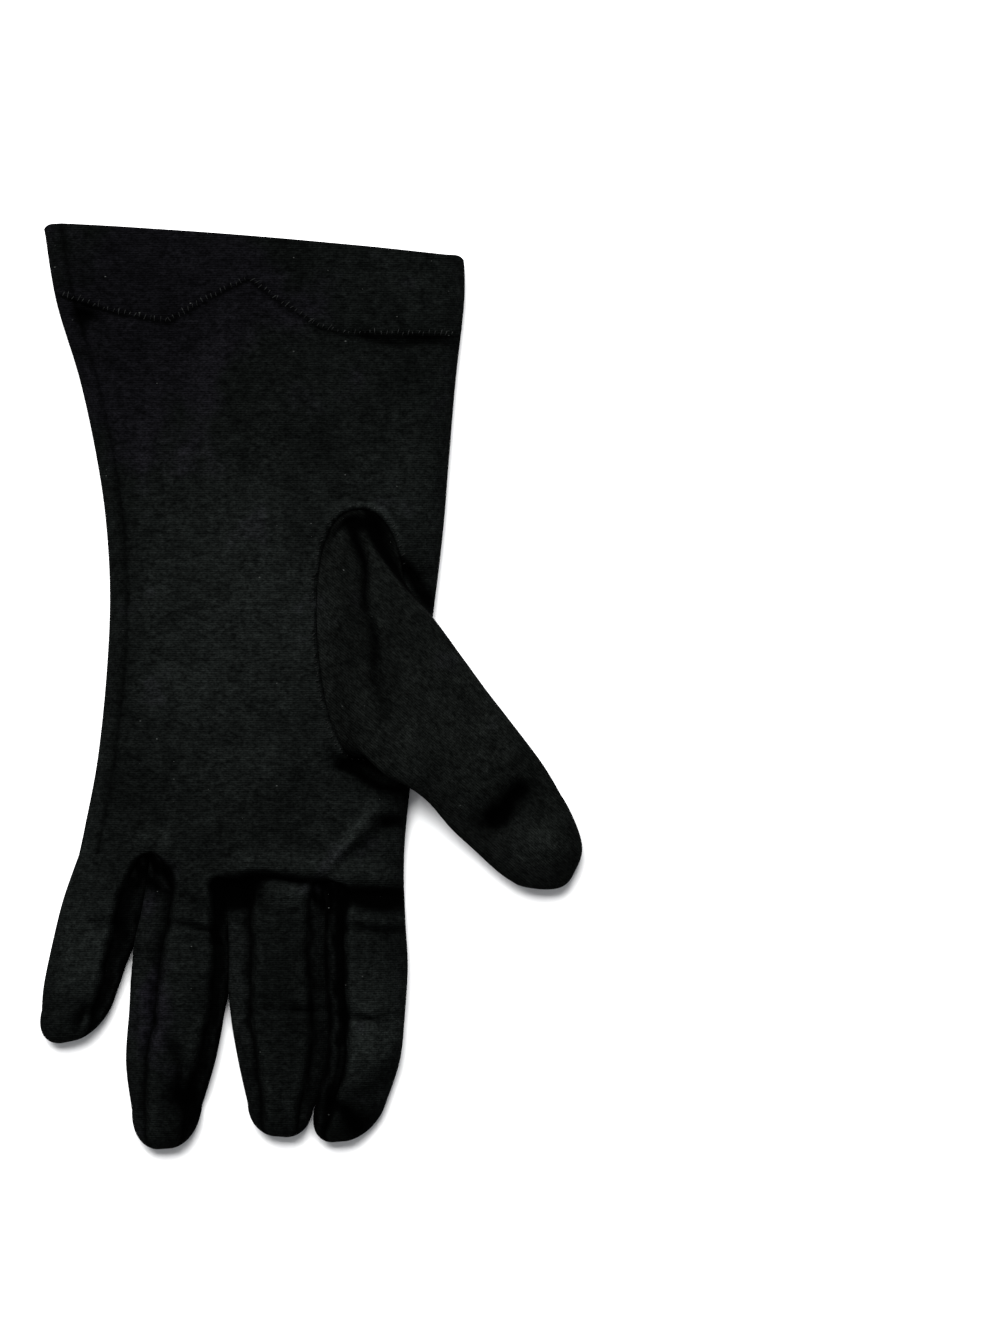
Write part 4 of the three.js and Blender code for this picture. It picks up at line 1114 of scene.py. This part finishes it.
# Fold on the hem side x, y, fold on the finger side x, y, bow of top, bow of under layer, under, thickness
THUMB_ROWS = np.array([
    (13.6, 49.5, 13.6, -19.3, 12.0, 12.0, 9.0, 2.0),
    (15.7, 40.6, 15.2, -18.0, 8.0, 10.6, 9.0, 4.5),
    (24.6, 28.6, 21.6, -24.4, 4.0, 5.5, 8.8, 7.6),
    (33.9, 18.8, 27.2, -27.4, 1.0, 1.5, 7.6, 9.0),
    (42.3, 7.6, 33.0, -31.9, 0.0, 0.0, 5.0, 9.0),
    (48.4, -0.8, 39.2, -39.2, 0.0, 0.0, 2.8, 9.0),
    (54.9, -9.2, 45.6, -45.2, 0.0, 0.0, 1.2, 9.0),
    (64.1, -21.4, 52.6, -51.6, 0.0, 0.0, 0.5, 8.8),
    (69.6, -30.6, 57.7, -55.0, 0.0, 0.0, 0.5, 8.2),
])

# Folds of the thumb alone, in the form of the table for the palm
THUMB_FOLDS = {
    "crescent under the seam": (10.0, 46.0, 20.0, 45.2, 2.2, -2.6),
    "shoulder under the seam": (4.8, 41.0, 9.8, 45.0, 1.6, -1.3),
    "valley from the seam": (12.0, 44.6, 14.2, 35.2, 2.1, -2.2),
    "valley, upper": (14.2, 35.2, 15.8, 23.2, 1.5, -2.0),
    "valley, middle": (15.8, 23.2, 18.0, 7.2, 1.7, -1.6),
    "valley, lower": (18.0, 7.2, 20.4, -8.5, 2.0, -1.25),
    "pad": (8.0, 26.0, 12.0, -4.0, 4.2, 0.8),
    "dent, deepest": (48.6, -37.4, 56.4, -36.4, 3.3, -2.7),
    "dent, towards the edge": (52.6, -33.6, 61.2, -27.6, 3.7, -1.9),
    "dent, upper corner": (54.4, -29.4, 58.4, -27.0, 2.8, -0.8),
    "tip roll": (57.5, -43.5, 68.0, -42.5, 5.0, 0.8),
}


def thumb_surface(station, cap, angle):
    """A flattened tube that leaves the palm at station 0: an arch over and an arch under each line from
    fold to fold, a little slimmer over the tip. Its painted shade lies in valleys, at the seam and on the
    under layer."""
    row = smooth_rows(THUMB_ROWS, station)
    swell = np.cos(cap)
    lift = np.sin(angle)
    centre, half = closing_row(row, cap, THUMB_TIP)
    slimmer = 1 - THUMB_TIP_TAPER * np.sin(2 * cap) / 2
    spot = centre - half * (slimmer * np.cos(angle))[..., None]
    bow = np.where(lift > 0, row[..., 4], row[..., 5])
    x, y = spot[..., 0] - bow * oval_width(angle), spot[..., 1]
    over, below = np.abs(lift) ** TOP_FULLNESS, np.abs(lift) ** UNDER_FULLNESS
    arch = np.where(lift > 0, 0.5 + 0.5 * over, 0.5 - 0.5 * below)
    on_top = ease(lift, 0, TOP_FROM)
    pocket_run = ease(station, 0, POCKET_START) * (1 - ease(station, POCKET_START, POCKET_END))
    pocket = ease(-lift, 0, TOP_FROM) * pocket_run
    folds = fold_relief(THUMB_FOLDS, x, y)
    dents = (folds + slack(x, y)) * on_top - POCKET_DEPTH * pocket
    tube = mix(THUMB_TIP_HEIGHT, row[..., 6] + row[..., 7] * arch + dents, swell)
    blend_end = mix(LIP_STATION, TOP_BLEND_STATION, 0.5 + 0.5 * lift)
    loose = ease(station / blend_end, 0, 1)
    z = mix(palm_height(x, y), tube, loose)
    # Painted shade: in the top's valleys, at the seam into the palm, and on the under layer
    valley = -ease(lift, -FOLD_EDGE, 0) * folds / VALLEY_FOR_DARK
    seam = SEAM_DARK * bell(station, SEAM_STATION)
    away = ease(-lift, POCKET_AWAY_FROM, POCKET_AWAY_TO)
    under = ease(-lift, 0, FOLD_EDGE) * mix(POCKET_DARK, POCKET_DARK_AWAY, away)
    return np.stack([x, y, z], -1), np.clip(valley + seam + under, -RIDGE_HIGHLIGHT_CAP, 1)


thumb_tricot = tricot("thumb_tricot", (0.0039, 0.0045, 0.0041), (0.0043, 0.0044, 0.0051), CROSS_CUT)
around = np.linspace(0, 2 * np.pi, THUMB_AROUND + 1)[::-1]
places, caps, angles = grid_to_tip(THUMB_ROW_COUNT, THUMB_ROW_POWER, THUMB_TIP_ROWS, around)
thumb_points, thumb_dark = thumb_surface((len(THUMB_ROWS) - 1) * places, caps, angles)
set_in_thumb = cloth_mesh("set_in_thumb", [(thumb_points, thumb_dark, None)], thumb_tricot)
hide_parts("thumb")

# Turned-in hem.
# The end of the palm and back is folded in once and caught down by the hem's stitches. Inside, it lies
# against the outer cloth as a second layer, whose edge follows the stitched line on the palm.

BACK_HEM_DEPTH = 21.0
FACING_DEPTH_ROWS = 20
FACING_ROW_POWER = 1.5
FACING_AWAY = 1.5
FACING_DARK = 0.4
FOLD_REACH = 0.09


def place_at(across, depth):
    """The hand's place, 0 to 1, that lies a depth below the hem edge at a share of the width."""
    heights = mix(HAND_ROWS[:, 1][:, None], HAND_ROWS[:, 3][:, None], across)
    counts = np.arange(len(HAND_ROWS))
    found = [np.interp(-(h[0] - d), -h, counts) for h, d in zip(heights.T, depth)]
    return np.array(found) / (len(HAND_ROWS) - 1)


front_place = place_at(hand_columns, hem_depth(hand_columns))
back_place = place_at(back_columns, np.full(len(back_columns), BACK_HEM_DEPTH))
hem_places = np.concatenate([
    front_place,
    mix(front_place[-1], back_place[0], turns[1:]),
    back_place[1:],
    mix(back_place[-1], front_place[0], turns[1:]),
])


def outward(grid):
    """Unit normals of a closed ring grid: the cross product of the steps down it and around it."""
    down = np.gradient(grid, axis=0)
    across = np.roll(grid, -1, 1) - np.roll(grid, 1, 1)
    normal = np.cross(down, across)
    return normal / np.maximum(np.linalg.norm(normal, axis=-1, keepdims=True), 1e-9)


depths = np.linspace(0, 1, FACING_DEPTH_ROWS + 1)[:, None] ** FACING_ROW_POWER
facing_rings = hand_ring(depths * hem_places[None, :])[:, :-1]
away = FACING_AWAY * np.sin(np.pi / 2 * np.clip(depths / FOLD_REACH, 0, 1))
facing_rings = facing_rings - outward(facing_rings) * away[..., None]
facing_rings = np.concatenate([facing_rings, facing_rings[:, :1]], 1)
turned_in_hem = cloth_mesh("turned_in_hem", [(facing_rings, FACING_DARK, None)], palm_tricot)
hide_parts("hem_facing")

# Floor, light and camera.
# A plain white table, a pale room, one wide soft lamp overhead, and a camera straight above the glove as
# in the photograph.

FLOOR_HALF = 3.0
PHOTO_MIDDLE = (0.05257, 0.0069)
PHOTO_HEIGHT = 0.3724
OUTLINE_LEVEL = 0.003
CAMERA_AWAY = 1.6
SENSOR = 36.0

floor_mesh = bpy.data.meshes.new("floor")
corners = [(x * FLOOR_HALF, y * FLOOR_HALF, 0) for x, y in ((-1, -1), (1, -1), (1, 1), (-1, 1))]
floor_mesh.from_pydata(corners, [], [(0, 1, 2, 3)])
floor = bpy.data.objects.new("floor", floor_mesh)
bpy.context.collection.objects.link(floor)
white_table, _, table_shader = shaded_material("white_table")
table_shader.inputs["Base Color"].default_value = (0.9, 0.9, 0.9, 1)
table_shader.inputs["Roughness"].default_value = 0.9
floor_mesh.materials.append(white_table)

world = bpy.data.worlds.new("pale_room")
bpy.context.scene.world = world
world.use_nodes = True
background = world.node_tree.nodes["Background"]
background.inputs["Color"].default_value = (0.95, 0.97, 1.0, 1)
background.inputs["Strength"].default_value = 0.35

lamp_data = bpy.data.lights.new("overhead", "AREA")
lamp_data.shape = "RECTANGLE"
lamp_data.size = 1.5
lamp_data.size_y = 1.2
lamp_data.energy = 73.5
lamp = bpy.data.objects.new("overhead", lamp_data)
bpy.context.collection.objects.link(lamp)
lamp.location = (-0.3, 0.95, 1.15)
lamp.rotation_euler = (math.radians(-39), math.radians(-12), 0)

camera_data = bpy.data.cameras.new("camera")
camera_data.sensor_width = SENSOR
camera_data.lens = SENSOR * CAMERA_AWAY / PHOTO_HEIGHT
camera = bpy.data.objects.new("camera", camera_data)
bpy.context.collection.objects.link(camera)
camera.location = (*PHOTO_MIDDLE, CAMERA_AWAY + OUTLINE_LEVEL)
bpy.context.scene.camera = camera
bpy.context.scene.view_settings.view_transform = "Standard"
